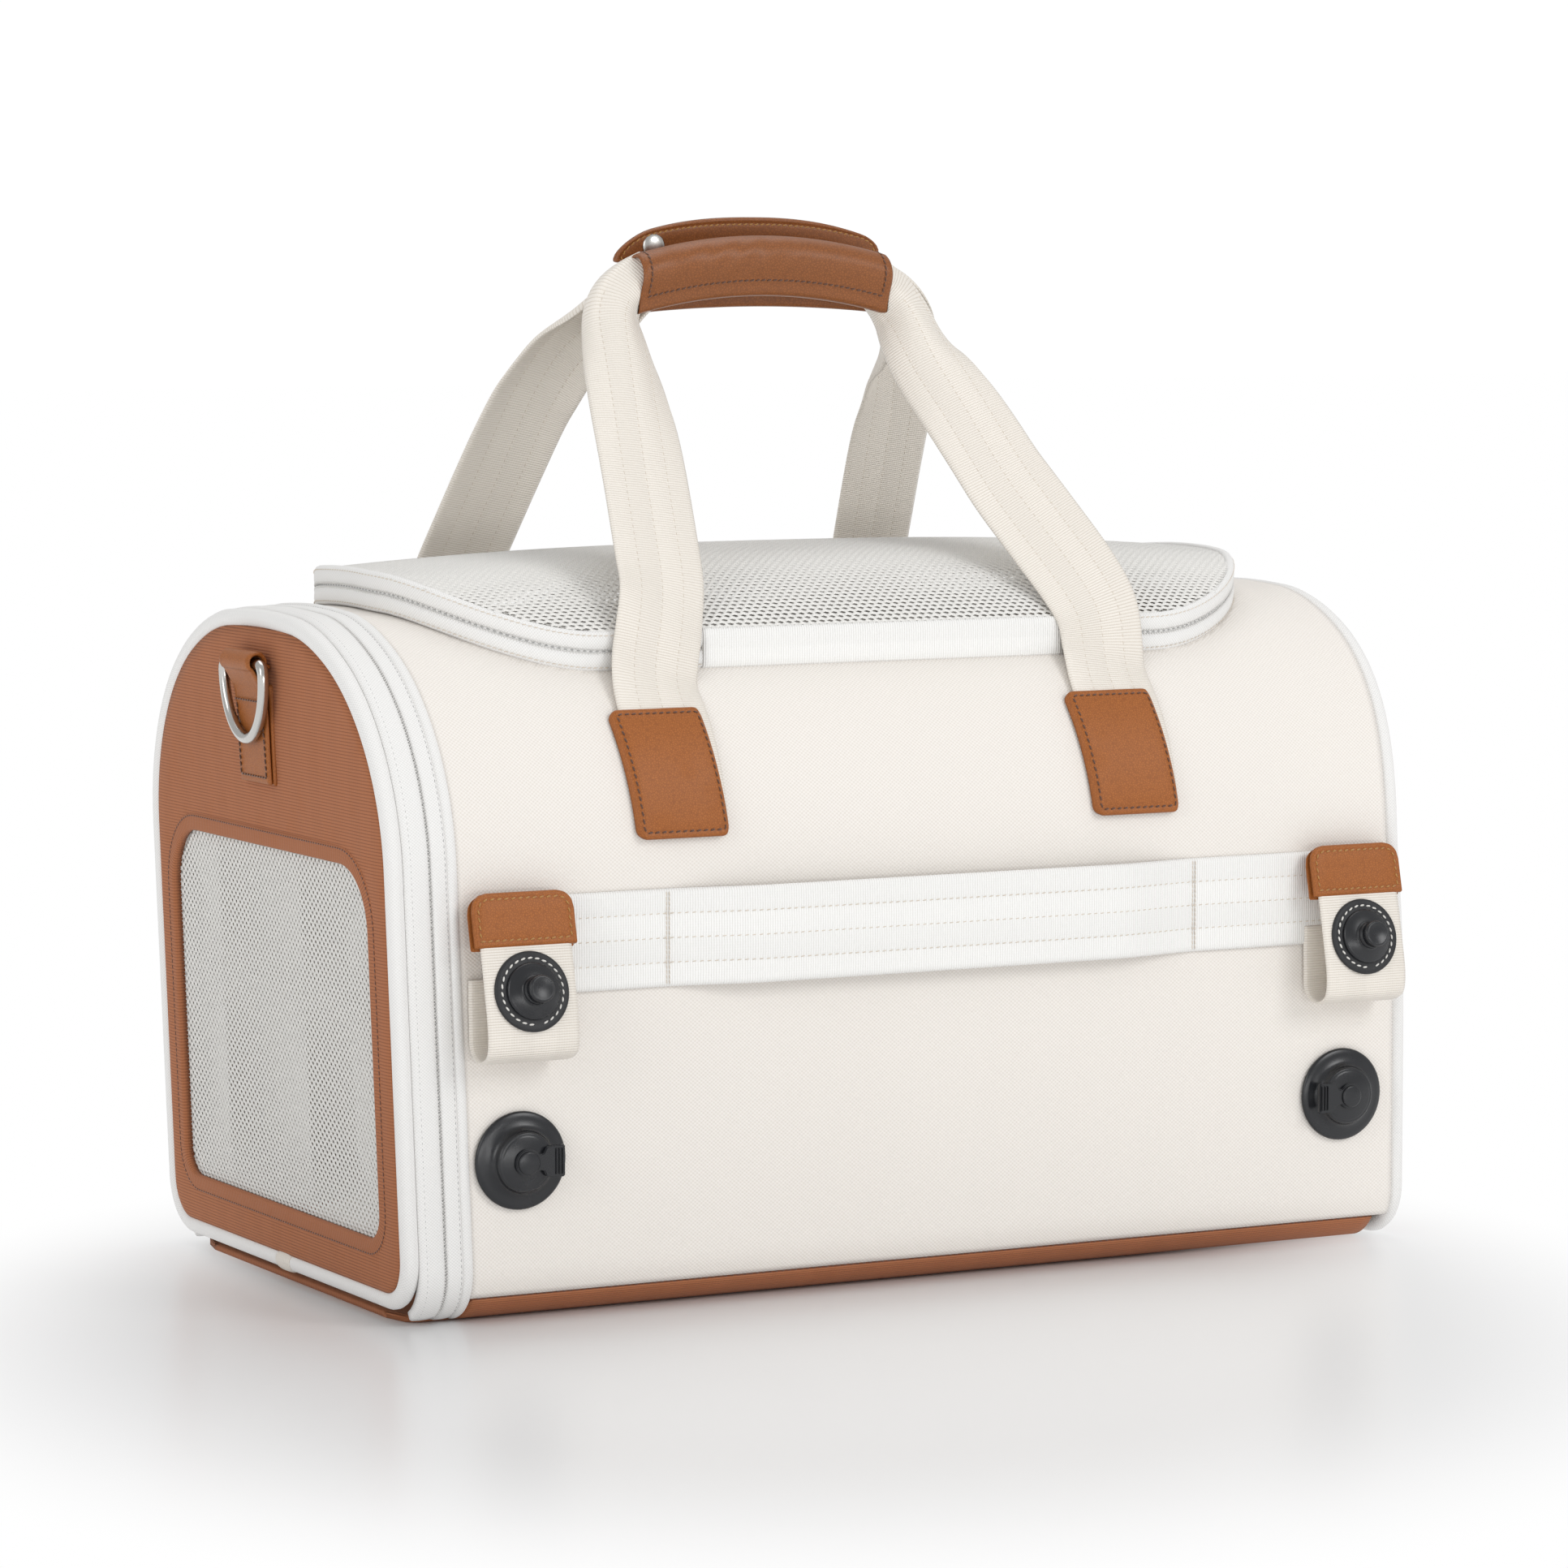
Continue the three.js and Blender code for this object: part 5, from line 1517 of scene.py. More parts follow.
# %% Grip roll
def drop_section(height, half, flange, flat, count=44):
    """Points (across, up) of a drop-shaped section, from the lower edge round."""
    v = np.concatenate([np.linspace(0, 1, 5)[:-1] * 1.2 * MM, np.linspace(1.2 * MM, height, 40)])
    top = half * np.sqrt(np.clip(1 - ((v - 0.64 * height) / (0.36 * height)) ** 2, 0, 1))
    swell = flat + (half - flat) * smoothstep(v, flange * 0.2, 0.66 * height)
    t = np.where(v > 0.64 * height, top, swell) * np.sqrt(np.clip(v / (1.2 * MM), 0, 1))
    front = np.column_stack([t, v])
    back = np.column_stack([-t, v])[::-1]
    loop = np.vstack([front, back[1:]])
    run = distances(loop)
    at = np.linspace(0, run[-1], count + 1)[:-1]
    return np.stack([np.interp(at, run, loop[:, k]) for k in (0, 1)], 1)


def grip_roll(name, node, body, rise, half, flange, crease):
    low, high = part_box(node)
    section = drop_section((high.z - low.z) - rise, half, flange, half * 0.4)
    middle = section.mean(0)
    xs = np.concatenate([[low.x + 7 * MM, low.x + 0.4 * MM, low.x], np.linspace(low.x + 0.8 * MM,
                                                                                high.x - 0.8 * MM, 72),
                         [high.x, high.x - 0.4 * MM, high.x - 7 * MM]])
    inset = np.concatenate([[1.9, 1.4, 0.6], np.zeros(72), [0.6, 1.4, 1.9]]) * MM
    held = smoothstep(section[:, 1], 0, 11 * MM)[:, None]
    rows = []
    for x, shrink in zip(xs, inset):
        t = 2 * (x - low.x) / (high.x - low.x) - 1
        away = section - middle
        length = np.linalg.norm(away, axis=1, keepdims=True)
        ring = middle + away * np.clip(1 - shrink * held / length, 0.3, 1)
        y = (low.y + high.y) / 2 - ring[:, 0]
        z = low.z + ring[:, 1] + rise * (1 - t * t)
        fold = crease * np.sin((x * 1.0 - z * 0.9) * 520) * np.exp(-((t + 0.25) / 0.5) ** 2)
        fold = fold * smoothstep(ring[:, 1], 8 * MM, 14 * MM)
        rows.append(np.column_stack([np.full(len(ring), x), y - fold * np.sign(ring[:, 0]), z]))
    obj = panel(name, np.array(rows), GRIP_LEATHER, wrap_cols=True, caps=True)
    settle(obj, body, "brown_leather", node)
    return section, low, high


FRONT_RISE, FRONT_FLANGE = 7.5 * MM, 6.5 * MM
section, low, high = grip_roll("grip_front", "front_grip", "front_handle", FRONT_RISE, 8.5 * MM,
                               FRONT_FLANGE, 0.22 * MM)
grip_roll("grip_rear", "rear_grip", "rear_handle", 3 * MM, 4.4 * MM, 4 * MM, 0.12 * MM)


def sew_grip(section, low, high, rise, flange, body):
    middle_y = (low.y + high.y) / 2
    xs = np.linspace(low.x + 3 * MM, high.x - 3 * MM, 60)
    t = 2 * (xs - low.x) / (high.x - low.x) - 1
    side = section[section[:, 0] > 0]
    side = side[np.argsort(side[:, 1])]
    for way in (-1, 1):
        deep = np.interp(flange, side[:, 1], side[:, 0])
        line = np.column_stack([xs, np.full(60, middle_y + way * (deep + 0.1 * MM)),
                                low.z + flange + rise * (1 - t * t)])
        sew(body, "brown", line, (0, way, -0.1), 2.6 * MM)
        for x in (low.x + 3.6 * MM, high.x - 3.6 * MM):
            ups = side[(side[:, 1] > flange) & (side[:, 1] < 25 * MM)]
            lift = rise * (1 - (2 * (x - low.x) / (high.x - low.x) - 1) ** 2)
            end = np.column_stack([np.full(len(ups), x), middle_y + way * (ups[:, 0] + 0.15 * MM),
                                   low.z + ups[:, 1] + lift])
            sew(body, "brown", end, (0, way, 0.2), 2.6 * MM)


sew_grip(section, low, high, FRONT_RISE, FRONT_FLANGE, "front_handle")
print("grips done")

# %% [markdown]
# The far half of the grip is a flap that stands behind the roll and closes over it with a snap.
# Its top edge is one long arch.

# %% Grip flap
flap_low, flap_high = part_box("grip_flap")
FLAP_DROP = 6 * MM
FLAP_ARCH = 11 * MM
flap_width = flap_high.x - flap_low.x + 2 * MM
flap_height = flap_high.z - flap_low.z + FLAP_DROP


def flap_place(u, v, h):
    t = 2 * u / flap_width - 1
    x = flap_low.x - 1 * MM + u
    z = flap_low.z - FLAP_DROP + v - FLAP_ARCH * np.abs(t) ** 2.4 * (v / flap_height) * 0.9
    y = (flap_low.y + flap_high.y) / 2 + 1 * MM - h - 2.0 * MM * (v / flap_height) ** 2
    return np.stack([x, y, z], -1)


flap_radii = (2 * MM, 2 * MM, 9 * MM, 16 * MM)
flap = leather_cut("grip_flap_leather", flap_width, flap_height, flap_radii, 2.2 * MM, flap_place,
                   GRIP_LEATHER)
settle(flap, "flap", "brown_leather", "grip_flap")
sew_round("flap", "gold", flap_place, flap_width, flap_height, flap_radii, 2.2 * MM, 3.0 * MM, 2.6 * MM)
print("flap", round(flap_width, 4), round(flap_height, 4))

# %% [markdown]
# ## Band across the front
# A satin webbing band is sewn flat at its ends and stands a little free of the wall in between, so
# a suitcase's handle can pass behind it. Bar tacks cross it where it leaves the wall.

# %% Band
band_low, band_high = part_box("trolley_band")
TACKS = (-118 * MM, 120 * MM)
BAND_THICK = 1.5 * MM
BOW = (-band_low.y) - HALF - 0.4 * MM - BAND_THICK


def band_bow(x):
    return BOW * smoothstep(x, TACKS[0] - 3 * MM, TACKS[0] + 42 * MM) * (
        1 - smoothstep(x, TACKS[1] - 42 * MM, TACKS[1] + 3 * MM))


def band_grid(lift):
    zs = np.linspace(band_low.z, band_high.z, 31)
    channel = sum(np.exp(-(((zs - band_low.z - k * (band_high.z - band_low.z) / 4) / (1.2 * MM)) ** 2))
                  for k in (1, 2, 3))
    edge = np.clip(np.minimum(zs - band_low.z, band_high.z - zs) / (1.2 * MM), 0, 1) ** 0.5
    rows = []
    for x in np.linspace(band_low.x, band_high.x, 160):
        tack = math.exp(-(((x - TACKS[0]) / (1.6 * MM)) ** 2)) + math.exp(-(((x - TACKS[1])
                                                                             / (1.6 * MM)) ** 2))
        sag = 1.5 * MM * band_bow(x) / BOW * np.sin((zs - band_low.z) / (band_high.z - band_low.z) * math.pi)
        out = HALF + 0.25 * MM + band_bow(x) + sag * 0.4
        rise = lift * BAND_THICK * (0.4 + 0.6 * edge) * (1 - 0.35 * tack) - 0.25 * MM * channel * lift
        rows.append(np.column_stack([np.full(31, x), -(out + rise), zs]))
    return np.array(rows)


# The band takes the lighter copy of the cream webbing, whose extra brightness is painted highlight.
band = panel("trolley_band_webbing", band_grid(1.0), HIGHLIT_WEB, band_grid(0.0))
settle(band, "body", "cream_webbing", "trolley_band")
band_xs = np.linspace(band_low.x + 6 * MM, band_high.x - 6 * MM, 120)
for k in (1, 2, 3):
    z = band_low.z + k * (band_high.z - band_low.z) / 4
    line = np.column_stack([band_xs, -(HALF + 1.5 * MM + band_bow(band_xs) + 0.6 * MM * band_bow(band_xs)
                                       / BOW), np.full(120, z)])
    sew("body", "cream", line, (0, -1, 0), 3.0 * MM)
for x in TACKS:
    for shift in (-0.6 * MM, 0.6 * MM):
        zs = np.linspace(band_low.z + 1 * MM, band_high.z - 1 * MM, 20)
        line = np.column_stack([np.full(20, x + shift), np.full(20,
                -(HALF + 1.55 * MM + float(band_bow(x)))), zs])
        sew("body", "cream", line, (0, -1, 0), 1.9 * MM)
print("band bow", round(BOW * 1000, 2), "mm")

# %% [markdown]
# ## Stud loops
# Each loop is one length of webbing: it leaves the wall under the band, hangs down, folds up
# again in a soft drop and leans back to the wall with a leather tab on its end. A stud on a round
# leather patch sits on the front layer and snaps into the socket below when the loop is turned
# down. The ribbon is curved round its fold and made as one fixed piece.

# %% Loop webbing
LOOP_SIDES = ("left", "right")
LOOP_HALF = 19 * MM
LOOP_THICK = 1.5 * MM


def loop_frame(side):
    """Foot of the front layer, its direction up the strap and its outward direction."""
    low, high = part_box(f"loop_front_{side}")
    foot = Vector(((low.x + high.x) / 2, low.y + 0.85 * MM, low.z))
    tip = Vector((foot.x, high.y - 0.85 * MM, high.z))
    up = (tip - foot).normalized()
    out = Vector((0, -up.z, up.y))
    return foot, up, out, (tip - foot).length


def loop_ribbon(side):
    foot, up, out, length = loop_frame(side)
    back_low, back_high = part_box(f"loop_back_{side}")
    wall_y = back_high.y - 0.9 * MM
    radius = (wall_y - foot.y) / 2
    knots = [(wall_y, back_high.z + 8 * MM), (wall_y, back_high.z), (wall_y - 0.3 * MM, foot.z + 4 * MM)]
    centre = (wall_y + foot.y) / 2
    drop = back_low.z + 0.8 * MM
    for angle in np.radians((-20, -55, -90, -125, -155)):
        knots.append((centre + radius * 0.98 * math.cos(angle),
                      foot.z - 1 * MM + (foot.z - 1 * MM - drop) * math.sin(angle)))
    for share in (0.06, 0.3, 0.6, 0.95):
        point = foot + up * (length * share) + out * (0.8 * MM * math.sin(math.pi * share))
        knots.append((point.y, point.z))
    curve = smooth_curve([(foot.x, *k) for k in knots], 1.8 * MM)
    tangents = np.gradient(curve, axis=0)
    tangents /= np.linalg.norm(tangents, axis=1, keepdims=True)
    outward = np.cross(np.array([1.0, 0, 0]), tangents)
    across = np.linspace(-LOOP_HALF, LOOP_HALF, 25)
    edge = np.clip((LOOP_HALF - np.abs(across)) / (1.1 * MM), 0, 1) ** 0.5
    grids = []
    for sign in (1, -1):
        rise = sign * LOOP_THICK / 2 * (0.35 + 0.65 * edge)
        grids.append(curve[:, None, :] + across[None, :, None] * np.array([1.0, 0, 0])
                     + rise[None, :, None] * outward[:, None, :])
    obj = panel(f"stud_loop_webbing_{side}", grids[0], WEB, grids[1])
    settle(obj, None, "cream_webbing", f"loop_back_{side}", f"loop_front_{side}")
    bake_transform(obj)
    return obj


for side in LOOP_SIDES:
    loop_ribbon(side)

# %% Leather tabs and stud patches
TAB = {"width": 43 * MM, "height": 21 * MM, "from": 35 * MM}


def layer_place(side, u0, v0, lift):
    """Lays a cut on the loop's front layer; lift is the height of its underside."""
    foot, up, out, _ = loop_frame(side)

    def place(u, v, h):
        sheet = (np.array(foot) + (v0 + v)[..., None] * np.array(up) + (lift + h)[..., None] * np.array(out))
        return sheet + (u0 + u)[..., None] * np.array([1.0, 0, 0])
    return place


def double_tab(side):
    radii = (0.8 * MM, 0.8 * MM, 7 * MM, 7 * MM)
    for lift, way in ((0.75 * MM, 1), (-0.75 * MM, -1)):
        front = layer_place(side, -TAB["width"] / 2, TAB["from"], 0.0)
        shift = 0.0 if way > 0 else 0.8 * MM

        def place(u, v, h, way=way, lift=lift, shift=shift):
            return front(u - shift, v - shift, lift + way * h)

        name = f"loop_tab_{side}_{'outer' if way > 0 else 'inner'}"
        obj = leather_cut(name, TAB["width"], TAB["height"], radii, 1.6 * MM, place, LEATHER)
        settle(obj, f"stud_loop_{side}", "brown_leather", *([f"loop_tab_{side}"] if way > 0 else []))
        sew_round(f"stud_loop_{side}", "gold", place, TAB["width"], TAB["height"], radii, 1.6 * MM,
                  2.6 * MM, 2.9 * MM)


def round_patch(side):
    low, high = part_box(f"stud_patch_{side}")
    _, up, out, _ = loop_frame(side)
    centre = (Vector(low) + Vector(high)) / 2
    profile = [(0, 0.6), (4, 0.75), (9, 0.8), (11.4, 0.72), (12.6, 0.45), (13.6, 0.7), (14.8, 0.65),
               (15.3, 0.3), (15.5, -0.3),
               (15.3, -0.8), (0, -0.8)]
    obj = turned(f"stud_patch_leather_{side}", scaled(profile), centre, out, up, BLACK_LEATHER)
    settle(obj, f"stud_loop_{side}", "black_leather", f"stud_patch_{side}")
    angles = np.linspace(-1.35, math.tau - 1.6, 90)
    ring = [np.array(centre) + 12.7 * MM * (math.cos(a) * np.array([1.0, 0, 0]) + math.sin(a) * np.array(up))
            + 0.65 * MM * np.array(out) for a in angles]
    sew(f"stud_loop_{side}", "white", ring, tuple(out), 2.9 * MM)


def turned(name, profile, centre, axis, start, material, count=56):
    """A piece turned on a lathe: (radius, height) pairs about an axis. Pairs at radius 0 close it."""
    axis, start = np.array(Vector(axis).normalized()), np.array(Vector(start).normalized())
    other = np.cross(axis, start)
    angles = np.arange(count) * math.tau / count
    spokes = np.cos(angles)[:, None] * start + np.sin(angles)[:, None] * other
    rows = [np.array(centre) + height * axis + radius * spokes for radius, height in profile]
    return panel(name, np.array(rows), material, wrap_cols=True)


for side in LOOP_SIDES:
    double_tab(side)
    round_patch(side)

snap_low, snap_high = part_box("flap_snap")
snap_at = Vector(((snap_low.x + snap_high.x) / 2, snap_high.y, (snap_low.z + snap_high.z) / 2 - 3.5 * MM))
cap = [(0, 0), (4.6, 0), (5.0, 0.3), (4.9, 0.9), (4.2, 1.5), (2.6, 1.95), (0, 2.1)]
snap = turned("flap_snap_cap", scaled(cap), snap_at, (0, -1, 0), (0, 0, 1), NICKEL, 40)
settle(snap, "flap", "nickel", "flap_snap")

# %% [markdown]
# ## Studs and sockets
# These are the only hard black parts. Both are turned shapes with a satin moulded finish: a stud
# with a stepped base and a grooved head, and a flared dish with a raised hub. The release slide is
# a keyhole-shaped plate in the hub with a ribbed finger grip that points to the bag's middle.

# %% Studs
def stud(side):
    _, up, out, _ = loop_frame(side)
    patch_low, patch_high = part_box(f"stud_patch_{side}")
    base = (Vector(patch_low) + Vector(patch_high)) / 2 + out * 0.85 * MM
    profile = [(0, 0), (10.8, 0), (11, 0.4), (10.9, 1.1), (10.2, 1.7), (9.6, 1.8), (9.2, 2.3), (6.3, 2.5),
               (5.6, 2.9),
               (5.3, 3.6), (5.3, 4.6), (4.7, 4.9), (4.7, 5.6), (5.3, 5.9), (5.35, 8.3), (5.0, 9.0),
               (4.4, 9.3),
               (4.0, 9.1), (0, 9.1)]
    obj = turned(f"stud_head_{side}", scaled(profile), base, out, up, BLACK_PLASTIC)
    settle(obj, f"stud_loop_{side}", "black_plastic", f"stud_{side}")


# %% Sockets and release slides
def keyhole(centre_x, way):
    """Outline of the slide: a round eye and a waist that widens to the finger grip, (x, z)."""
    eye = [(5.4 * math.cos(a), 5.4 * math.sin(a)) for a in np.linspace(math.radians(36), math.radians(324),
                                                                       30)]
    half = [(5.6, 3.1), (6.4, 3.4), (7.0, 4.6), (7.6, 5.6), (9.0, 6.0), (14.6, 6.2), (15.3, 5.6)]
    grip = [(x, -z) for x, z in half] + half[::-1]
    return [(centre_x + way * x * MM, z * MM) for x, z in eye + grip]


def plate(name, outline_xz, z, y_back, y_front, material, bevel=0.35 * MM):
    """A flat plate cut to an outline, facing -y, with its edges rounded."""
    work = bmesh.new()
    ring = [work.verts.new((x, y_back, z + dz)) for x, dz in outline_xz]
    face = work.faces.new(ring)
    lifted = bmesh.ops.extrude_face_region(work, geom=[face])
    moved = [v for v in lifted["geom"] if isinstance(v, bmesh.types.BMVert)]
    bmesh.ops.translate(work, verts=moved, vec=(0, y_front - y_back, 0))
    bmesh.ops.recalc_face_normals(work, faces=work.faces)
    rims = [e for e in work.edges if all(abs(v.co.y - y_front) < 1e-6 for v in e.verts)]
    bmesh.ops.bevel(work, geom=rims, offset=bevel, segments=2, affect="EDGES", clamp_overlap=True)
    mesh = bpy.data.meshes.new(name)
    work.to_mesh(mesh)
    work.free()
    return linked(name, mesh, material, smooth=False)


def socket_and_slide(side):
    low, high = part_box(f"socket_{side}")
    centre = Vector(((low.x + high.x) / 2, high.y, (low.z + high.z) / 2))
    way = 1 if side == "left" else -1
    out = Vector((0, -1, 0))
    profile = [(0, 0), (18.8, 0), (19, 0.5), (18.9, 1.2), (18.2, 1.7), (16.5, 1.9), (14.3, 2.3),
               (12.6, 3.2), (11.9, 4.6),
               (11.7, 5.6), (11.4, 6.3), (10.8, 6.6), (10.4, 6.5), (10.1, 6.7), (9.7, 6.9), (0, 6.9)]
    dish = turned(f"socket_dish_{side}", scaled(profile), centre, out, (0, 0, 1), BLACK_PLASTIC, 72)
    settle(dish, "body", "black_plastic", f"socket_{side}")
    hub = centre.y - 6.9 * MM
    slide = plate(f"release_slide_{side}", keyhole(centre.x, way), centre.z, hub - 0.05 * MM, hub - 1.7 * MM,
                  BLACK_PLASTIC)
    settle(slide, f"release_{side}", "black_plastic", f"release_tab_{side}")
    for number, at in enumerate((11.6, 12.9, 14.2)):
        x = centre.x + way * at * MM
        rib = [(x - 0.4 * MM, -5 * MM), (x + 0.4 * MM, -5 * MM), (x + 0.4 * MM, 5 * MM),
               (x - 0.4 * MM, 5 * MM)]
        obj = plate(f"release_rib_{side}_{number}", rib, centre.z, hub - 1.5 * MM, hub - 2.5 * MM,
                    BLACK_PLASTIC, 0.25 * MM)
        settle(obj, f"release_{side}", "black_plastic")
    eye = turned(f"release_eye_{side}", scaled([(0, 0), (4.3, 0), (4.5, 0.2), (4.4, 0.75), (3.9, 0.95),
                                                (0, 0.8)]),
                 Vector((centre.x, hub - 1.6 * MM, centre.z)), out, (0, 0, 1), BLACK_PLASTIC, 40)
    settle(eye, f"release_{side}", "black_plastic")


for side in LOOP_SIDES:
    stud(side)
    socket_and_slide(side)
print("studs and sockets done")

# %% [markdown]
# ## D-rings
# A leather strip is folded over the ring's straight bar and sewn to the end panel. The ring is
# cast nickel with a satin polish: a bar and a bow, swept with a round section.

# %% D-rings and their leather
RING_WIRE = 2.2 * MM


def ring_path(low, high):
    """The D outline, (y, z): a bar at the top and a bow below it."""
    half = (high.y - low.y) / 2 - RING_WIRE
    top, bottom = high.z - RING_WIRE, low.z + RING_WIRE
    bend = 4 * MM
    depth = top - 4.5 * MM - bottom
    corner = [(half - bend + bend * math.sin(a), top - bend + bend * math.cos(a)) for a in np.linspace(0,
            1.5, 6)]
    bow = [(half * math.cos(a), bottom + depth - depth * math.sin(a)) for a in np.linspace(0.08,
            math.pi - 0.08, 33)]
    return np.array(corner + bow + [(-y, z) for y, z in corner[::-1]])


def dring(name, node, body, place):
    low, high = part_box(node)
    flat = ring_path(low, high)
    closed = np.vstack([flat, np.column_stack([np.linspace(flat[-1, 0], flat[0, 0], 9)[1:-1],
                                               np.full(7, flat[0, 1])])])
    ahead, behind = np.roll(closed, -1, 0), np.roll(closed, 1, 0)
    tangent = ahead - behind
    normal = np.column_stack([tangent[:, 1], -tangent[:, 0]]) / np.linalg.norm(tangent, axis=1, keepdims=True)
    angles = np.arange(14) * math.tau / 14
    rows = []
    for point, side in zip(closed, normal):
        ring = [(RING_WIRE * math.sin(a), *(point + side * RING_WIRE * math.cos(a))) for a in angles]
        rows.append(ring)
    obj = panel(name, place(np.array(rows)), NICKEL, wrap_rows=True, wrap_cols=True)
    settle(obj, body, "nickel", node)


def ring_tab(name, node, body, place):
    """The leather strip: a fold round the bar and two layers below it, sewn to the panel."""
    low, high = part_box(node)
    width = high.y - low.y
    stand, bar_z, foot = 6.2 * MM, 249 * MM, 201 * MM
    fold = [(stand + 3.6 * MM * math.sin(a), bar_z + 3.6 * MM * math.cos(a)) for a in np.linspace(-1.9, 2.6,
                                                                                                  15)]
    line = [(0.9 * MM, bar_z - 2 * MM), *fold, (4.4 * MM, bar_z - 10 * MM), (3.6 * MM, bar_z - 14 * MM),
            (2.9 * MM, bar_z - 22 * MM), (2.7 * MM, foot + 10 * MM), (2.5 * MM, foot)]
    curve = smooth_curve([(a, 0, b) for a, b in line], 1.2 * MM)
    tangent = np.gradient(curve, axis=0)
    normal = np.cross(tangent, (0, 1, 0))
    normal /= np.linalg.norm(normal, axis=1, keepdims=True)
    across = np.linspace(-0.5, 0.5, 19) * width
    edge = np.clip((width / 2 - np.abs(across)) / (0.9 * MM), 0, 1) ** 0.5
    grids = []
    for sign in (1, -1):
        rise = sign * 0.85 * MM * (0.3 + 0.7 * edge)
        grids.append(curve[:, None, :] + across[None, :, None] * np.array([0, 1.0, 0]) + rise[None, :,
                None] * normal[:, None, :])
    obj = panel(name, place(grids[0]), LEATHER, place(grids[1]))
    settle(obj, body, "brown_leather", node)

    def under(u, v, h):
        return place(np.stack([0.2 * MM + h, u - width / 2 - 0.6 * MM, foot - 0.8 * MM + v], -1))

    backing = leather_cut(name + "_backing", width + 1.2 * MM, 40 * MM, (1.5 * MM,) * 4, 1.6 * MM, under,
                          LEATHER)
    settle(backing, body, "brown_leather")
    facing = place(np.array([[1.0, 0, 0]])) - place(np.array([[0.0, 0, 0]]))
    for y in (-width / 2 + 2.4 * MM, width / 2 - 2.4 * MM):
        run = np.array([(3.7 * MM + 0.6 * MM * (z - foot) / (30 * MM), y,
                         z) for z in np.linspace(foot + 2.5 * MM, bar_z - 17 * MM, 20)])
        sew(body, "brown", place(run), tuple(facing[0]), 2.6 * MM)
    run = np.array([(3.6 * MM, y, foot + 2.5 * MM) for y in np.linspace(-width / 2 + 2.4 * MM,
                                                                        width / 2 - 2.4 * MM, 20)])
    sew(body, "brown", place(run), tuple(facing[0]), 2.6 * MM)
    top = np.array([(5.2 * MM, y, bar_z - 15.5 * MM) for y in np.linspace(-width / 2 + 2.4 * MM,
                                                                          width / 2 - 2.4 * MM, 20)])
    sew(body, "brown", place(top), tuple(facing[0]), 2.6 * MM)


FACE_LIFT = 0.4 * MM


def on_door_face(points):
    """Points drawn outward from the door's panel, (out, y, z)."""
    drawn = points.copy()
    drawn[..., 0] = PANEL_X - FACE_LIFT - points[..., 0]
    drawn[..., 1] = -points[..., 1]
    return on_door(drawn)


def on_far_face(points):
    drawn = points.copy()
    drawn[..., 0] = FAR_FACE + FACE_LIFT + points[..., 0]
    return drawn


def ring_place(base):
    def place(points):
        lifted = points.copy()
        lifted[..., 0] += 6.2 * MM
        return base(lifted)
    return place


ring_tab("dring_leather_door", "dring_tab_left", "door", on_door_face)
ring_tab("dring_leather_end", "dring_tab_right", "body", on_far_face)
dring("dring_door_metal", "dring_left", "dring_door", ring_place(on_door_face))
dring("dring_end_metal", "dring_right", "dring_end", ring_place(on_far_face))
print("rings done")

# %% [markdown]
# ## Inside the bag
# A padded mat lies on the base board. It is made the way a real cushion gets its shape: a flat
# closed case of cloth is filled until it swells. The case starts smaller than the space, the
# pressure pushes it out, and no point may move further than a few millimetres.

# %% Cushion mat
mat_low, mat_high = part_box("cushion_mat")


def mat_case():
    """The closed case before it is filled."""
    inset = Vector((5 * MM, 5 * MM, 3.5 * MM))
    work = bmesh.new()
    bmesh.ops.create_cube(work, size=1)
    span = mat_high - mat_low - 2 * inset
    bmesh.ops.scale(work, vec=span, verts=work.verts)
    bmesh.ops.translate(work, vec=(mat_low + mat_high) / 2, verts=work.verts)
    upright = [e for e in work.edges if abs(e.verts[0].co.z - e.verts[1].co.z) > 1 * MM]
    bmesh.ops.bevel(work, geom=upright, offset=18 * MM, segments=6, affect="EDGES")
    mesh = bpy.data.meshes.new("mat_padding")
    work.to_mesh(mesh)
    work.free()
    return linked("mat_padding", mesh, FLEECE)


def fill_case(obj, voxel, pressure, cap, frames=20):
    """Remeshes a closed case, fills it by cloth pressure and caps how far each point moved."""
    bpy.context.view_layer.objects.active = obj
    remesh = obj.modifiers.new("even", "REMESH")
    remesh.mode, remesh.voxel_size = "VOXEL", voxel
    bpy.ops.object.modifier_apply(modifier=remesh.name)
    before = np.array([v.co for v in obj.data.vertices])
    cloth = obj.modifiers.new("fill", "CLOTH")
    cloth.settings.use_pressure = True
    cloth.settings.uniform_pressure_force = pressure
    cloth.settings.effector_weights.gravity = 0
    cloth.settings.tension_stiffness = 15
    cloth.point_cache.frame_end = frames
    for number in range(1, frames + 1):
        bpy.context.scene.frame_set(number)
    bpy.ops.object.modifier_apply(modifier=cloth.name)
    bpy.context.scene.frame_set(1)
    after = np.array([v.co for v in obj.data.vertices])
    move = after - before
    far = np.linalg.norm(move, axis=1, keepdims=True)
    after = before + move * np.minimum(1, cap / np.maximum(far, 1e-9))
    after = np.clip(after, np.array(mat_low), np.array(mat_high))
    obj.data.vertices.foreach_set("co", after.ravel())
    obj.data.update()
    smooth = obj.modifiers.new("smooth", "SUBSURF")
    smooth.levels = smooth.render_levels = 1
    bpy.ops.object.modifier_apply(modifier=smooth.name)
    obj.data.polygons.foreach_set("use_smooth", [True] * len(obj.data.polygons))


mat = mat_case()
fill_case(mat, 6 * MM, 4.0, 5 * MM)
settle(mat, "body", "fleece", "cushion_mat")
print("mat faces", len(mat.data.polygons))

# %% [markdown]
# Foam sheets stand inside both long walls and keep them upright. They are hidden by the lining, and
# are modelled as soft-edged sheets of foam. The base board keeps its frame shape.

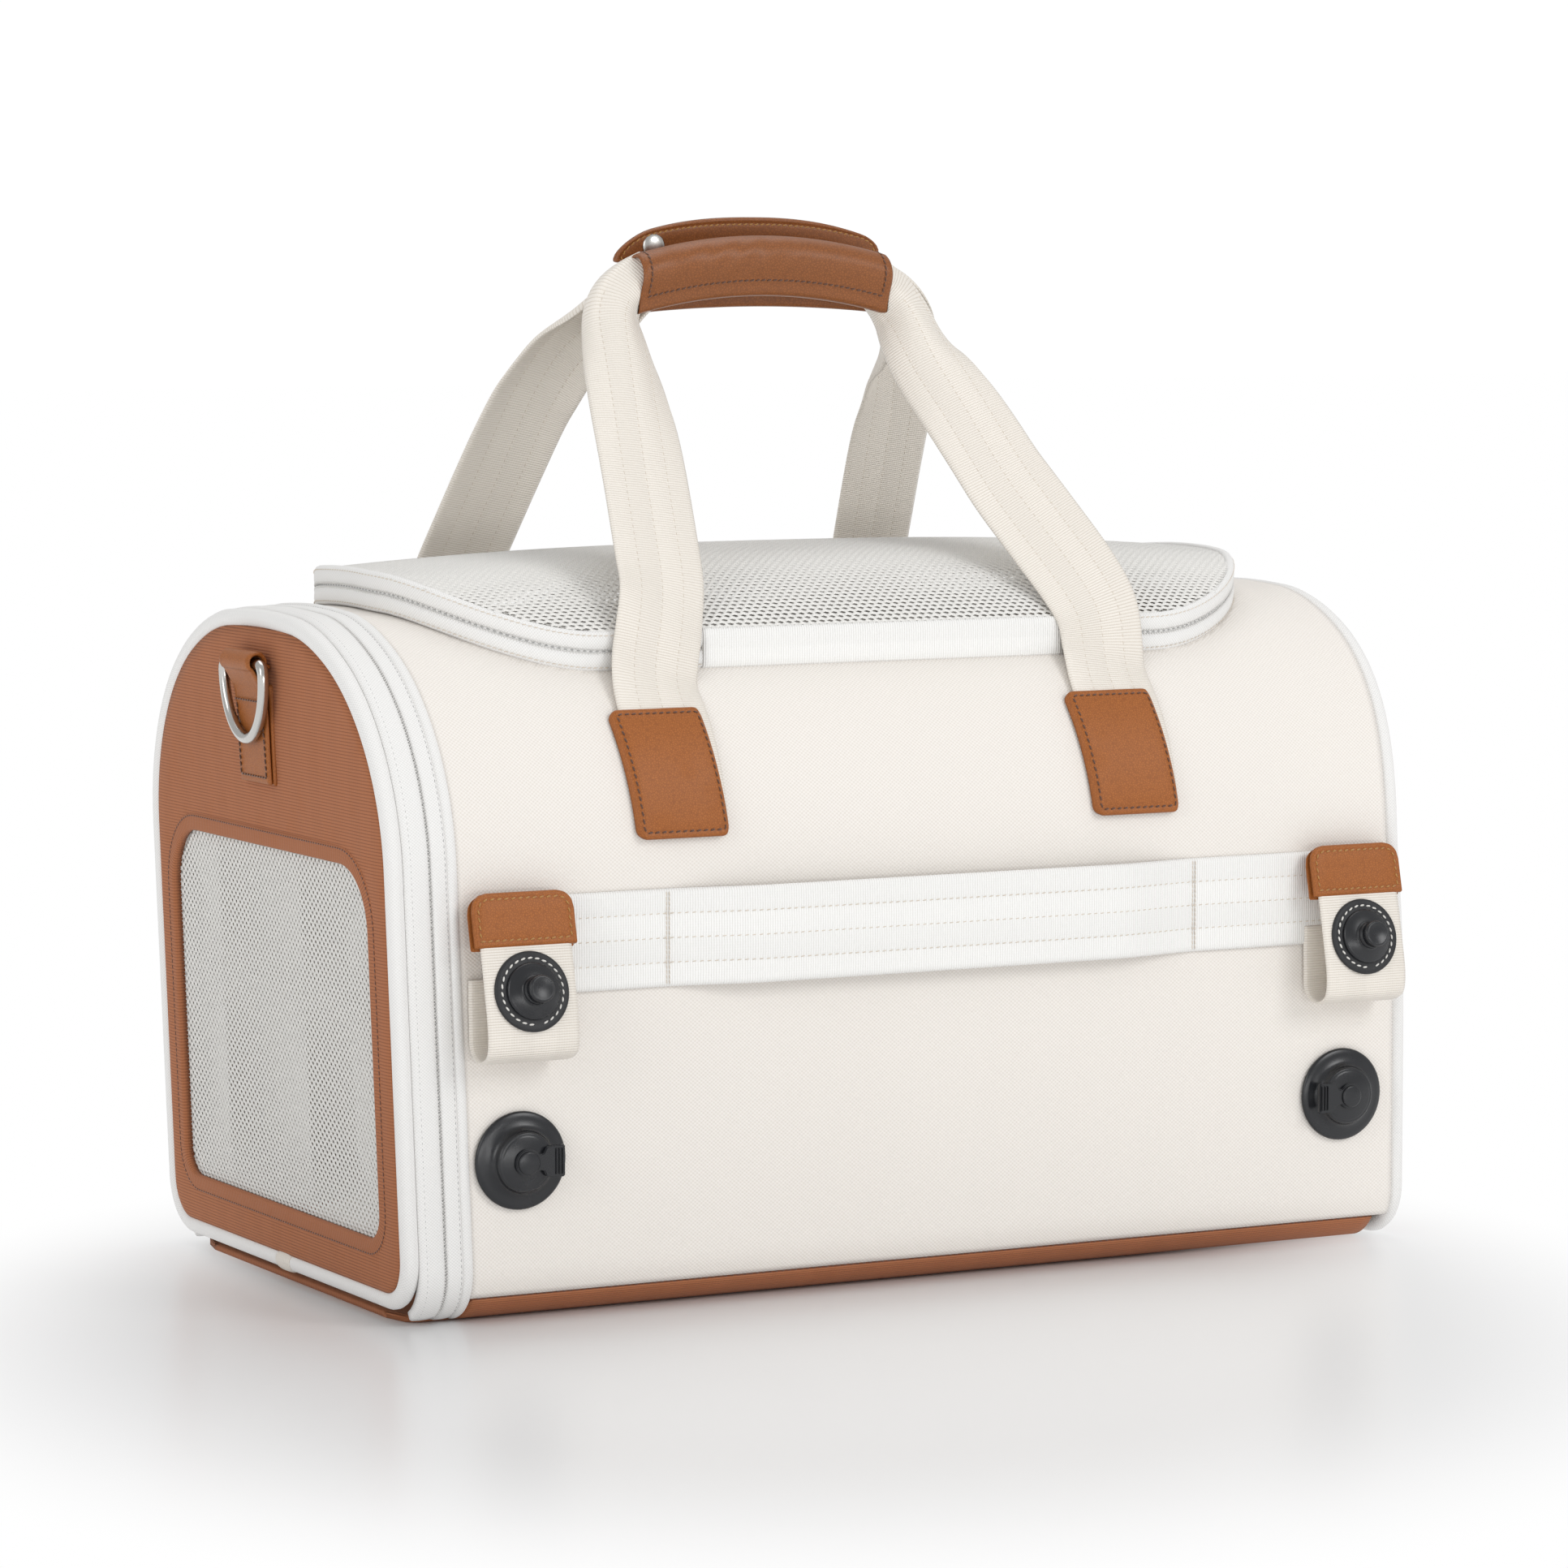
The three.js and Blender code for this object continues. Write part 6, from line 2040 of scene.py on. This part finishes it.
# %% Foam sheets and board
for row, side in (("front", -1), ("rear", 1)):
    node = f"{row}_stiffener"
    low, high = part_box(node)

    def place(u, v, h, low=low, high=high, side=side):
        y = (high.y if side > 0 else low.y) - side * (0.1 * MM + h)
        return np.stack([low.x + u, y, low.z + v], -1)

    sheet = leather_cut(f"foam_{row}", high.x - low.x, high.z - low.z, (10 * MM,) * 4, 2.2 * MM, place,
                        FOAM, 12 * MM)
    settle(sheet, "body", "foam", node)
frame["nodes"]["base_board"].data.materials.clear()
frame["nodes"]["base_board"].data.materials.append(BOARD)

# %% [markdown]
# ## Zip pulls
# The sliders are small nickel castings whose frame shape is right, so they only get their metal.
# Their pulls are little doubled tongues of leather.

# %% Sliders and pulls
for node in ("lid_slider_left", "lid_slider_right", "door_slider"):
    mesh = frame["nodes"][node].data
    mesh.materials.clear()
    mesh.materials.append(NICKEL)


def pull(node, body, long_axis):
    """A leather tongue in the place of a frame pull, lying flat against the zip."""
    low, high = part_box(node)
    long = (high.x - low.x) if long_axis == "x" else (high.z - low.z)
    wide = (high.z - low.z) if long_axis == "x" else (high.x - low.x)

    def place(u, v, h):
        a, b = (low.x + u, low.z + v) if long_axis == "x" else (low.x + v, low.z + u)
        return np.stack([a, low.y + h, b], -1)

    obj = leather_cut(f"{node}_leather", long, wide, (2 * MM,) * 4, high.y - low.y, place, LEATHER, 2 * MM)
    settle(obj, body, "brown_leather", node)
    sew_round(body, "brown", place, long, wide, (2 * MM,) * 4, high.y - low.y, 1.6 * MM, 2.2 * MM)


pull("lid_pull_left", "pull_left", "x")
pull("lid_pull_right", "pull_right", "x")
pull("door_pull", "pull_door", "z")

# %% [markdown]
# ## Growing the stitches
# All the noted seams are grown now. A seam on a strap is left as a fixed piece, like its strap.

# %% Grow every seam
for (carrier, kind), seams in sorted(SEAMS.items()):
    colour, length, width, height, slant = STITCHES[kind]
    values = {"Length": length * MM, "Width": width * MM, "Height": height * MM,
              "Slant": math.radians(slant), "Thread": THREADS[colour]}
    obj = grow(f"stitches_{kind}_{carrier}", SEWING, seeds_of(seams), values)
    if carrier in BENDS:
        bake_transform(obj)
    else:
        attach(obj, carrier)
    print(obj.name, "faces", len(obj.data.polygons))
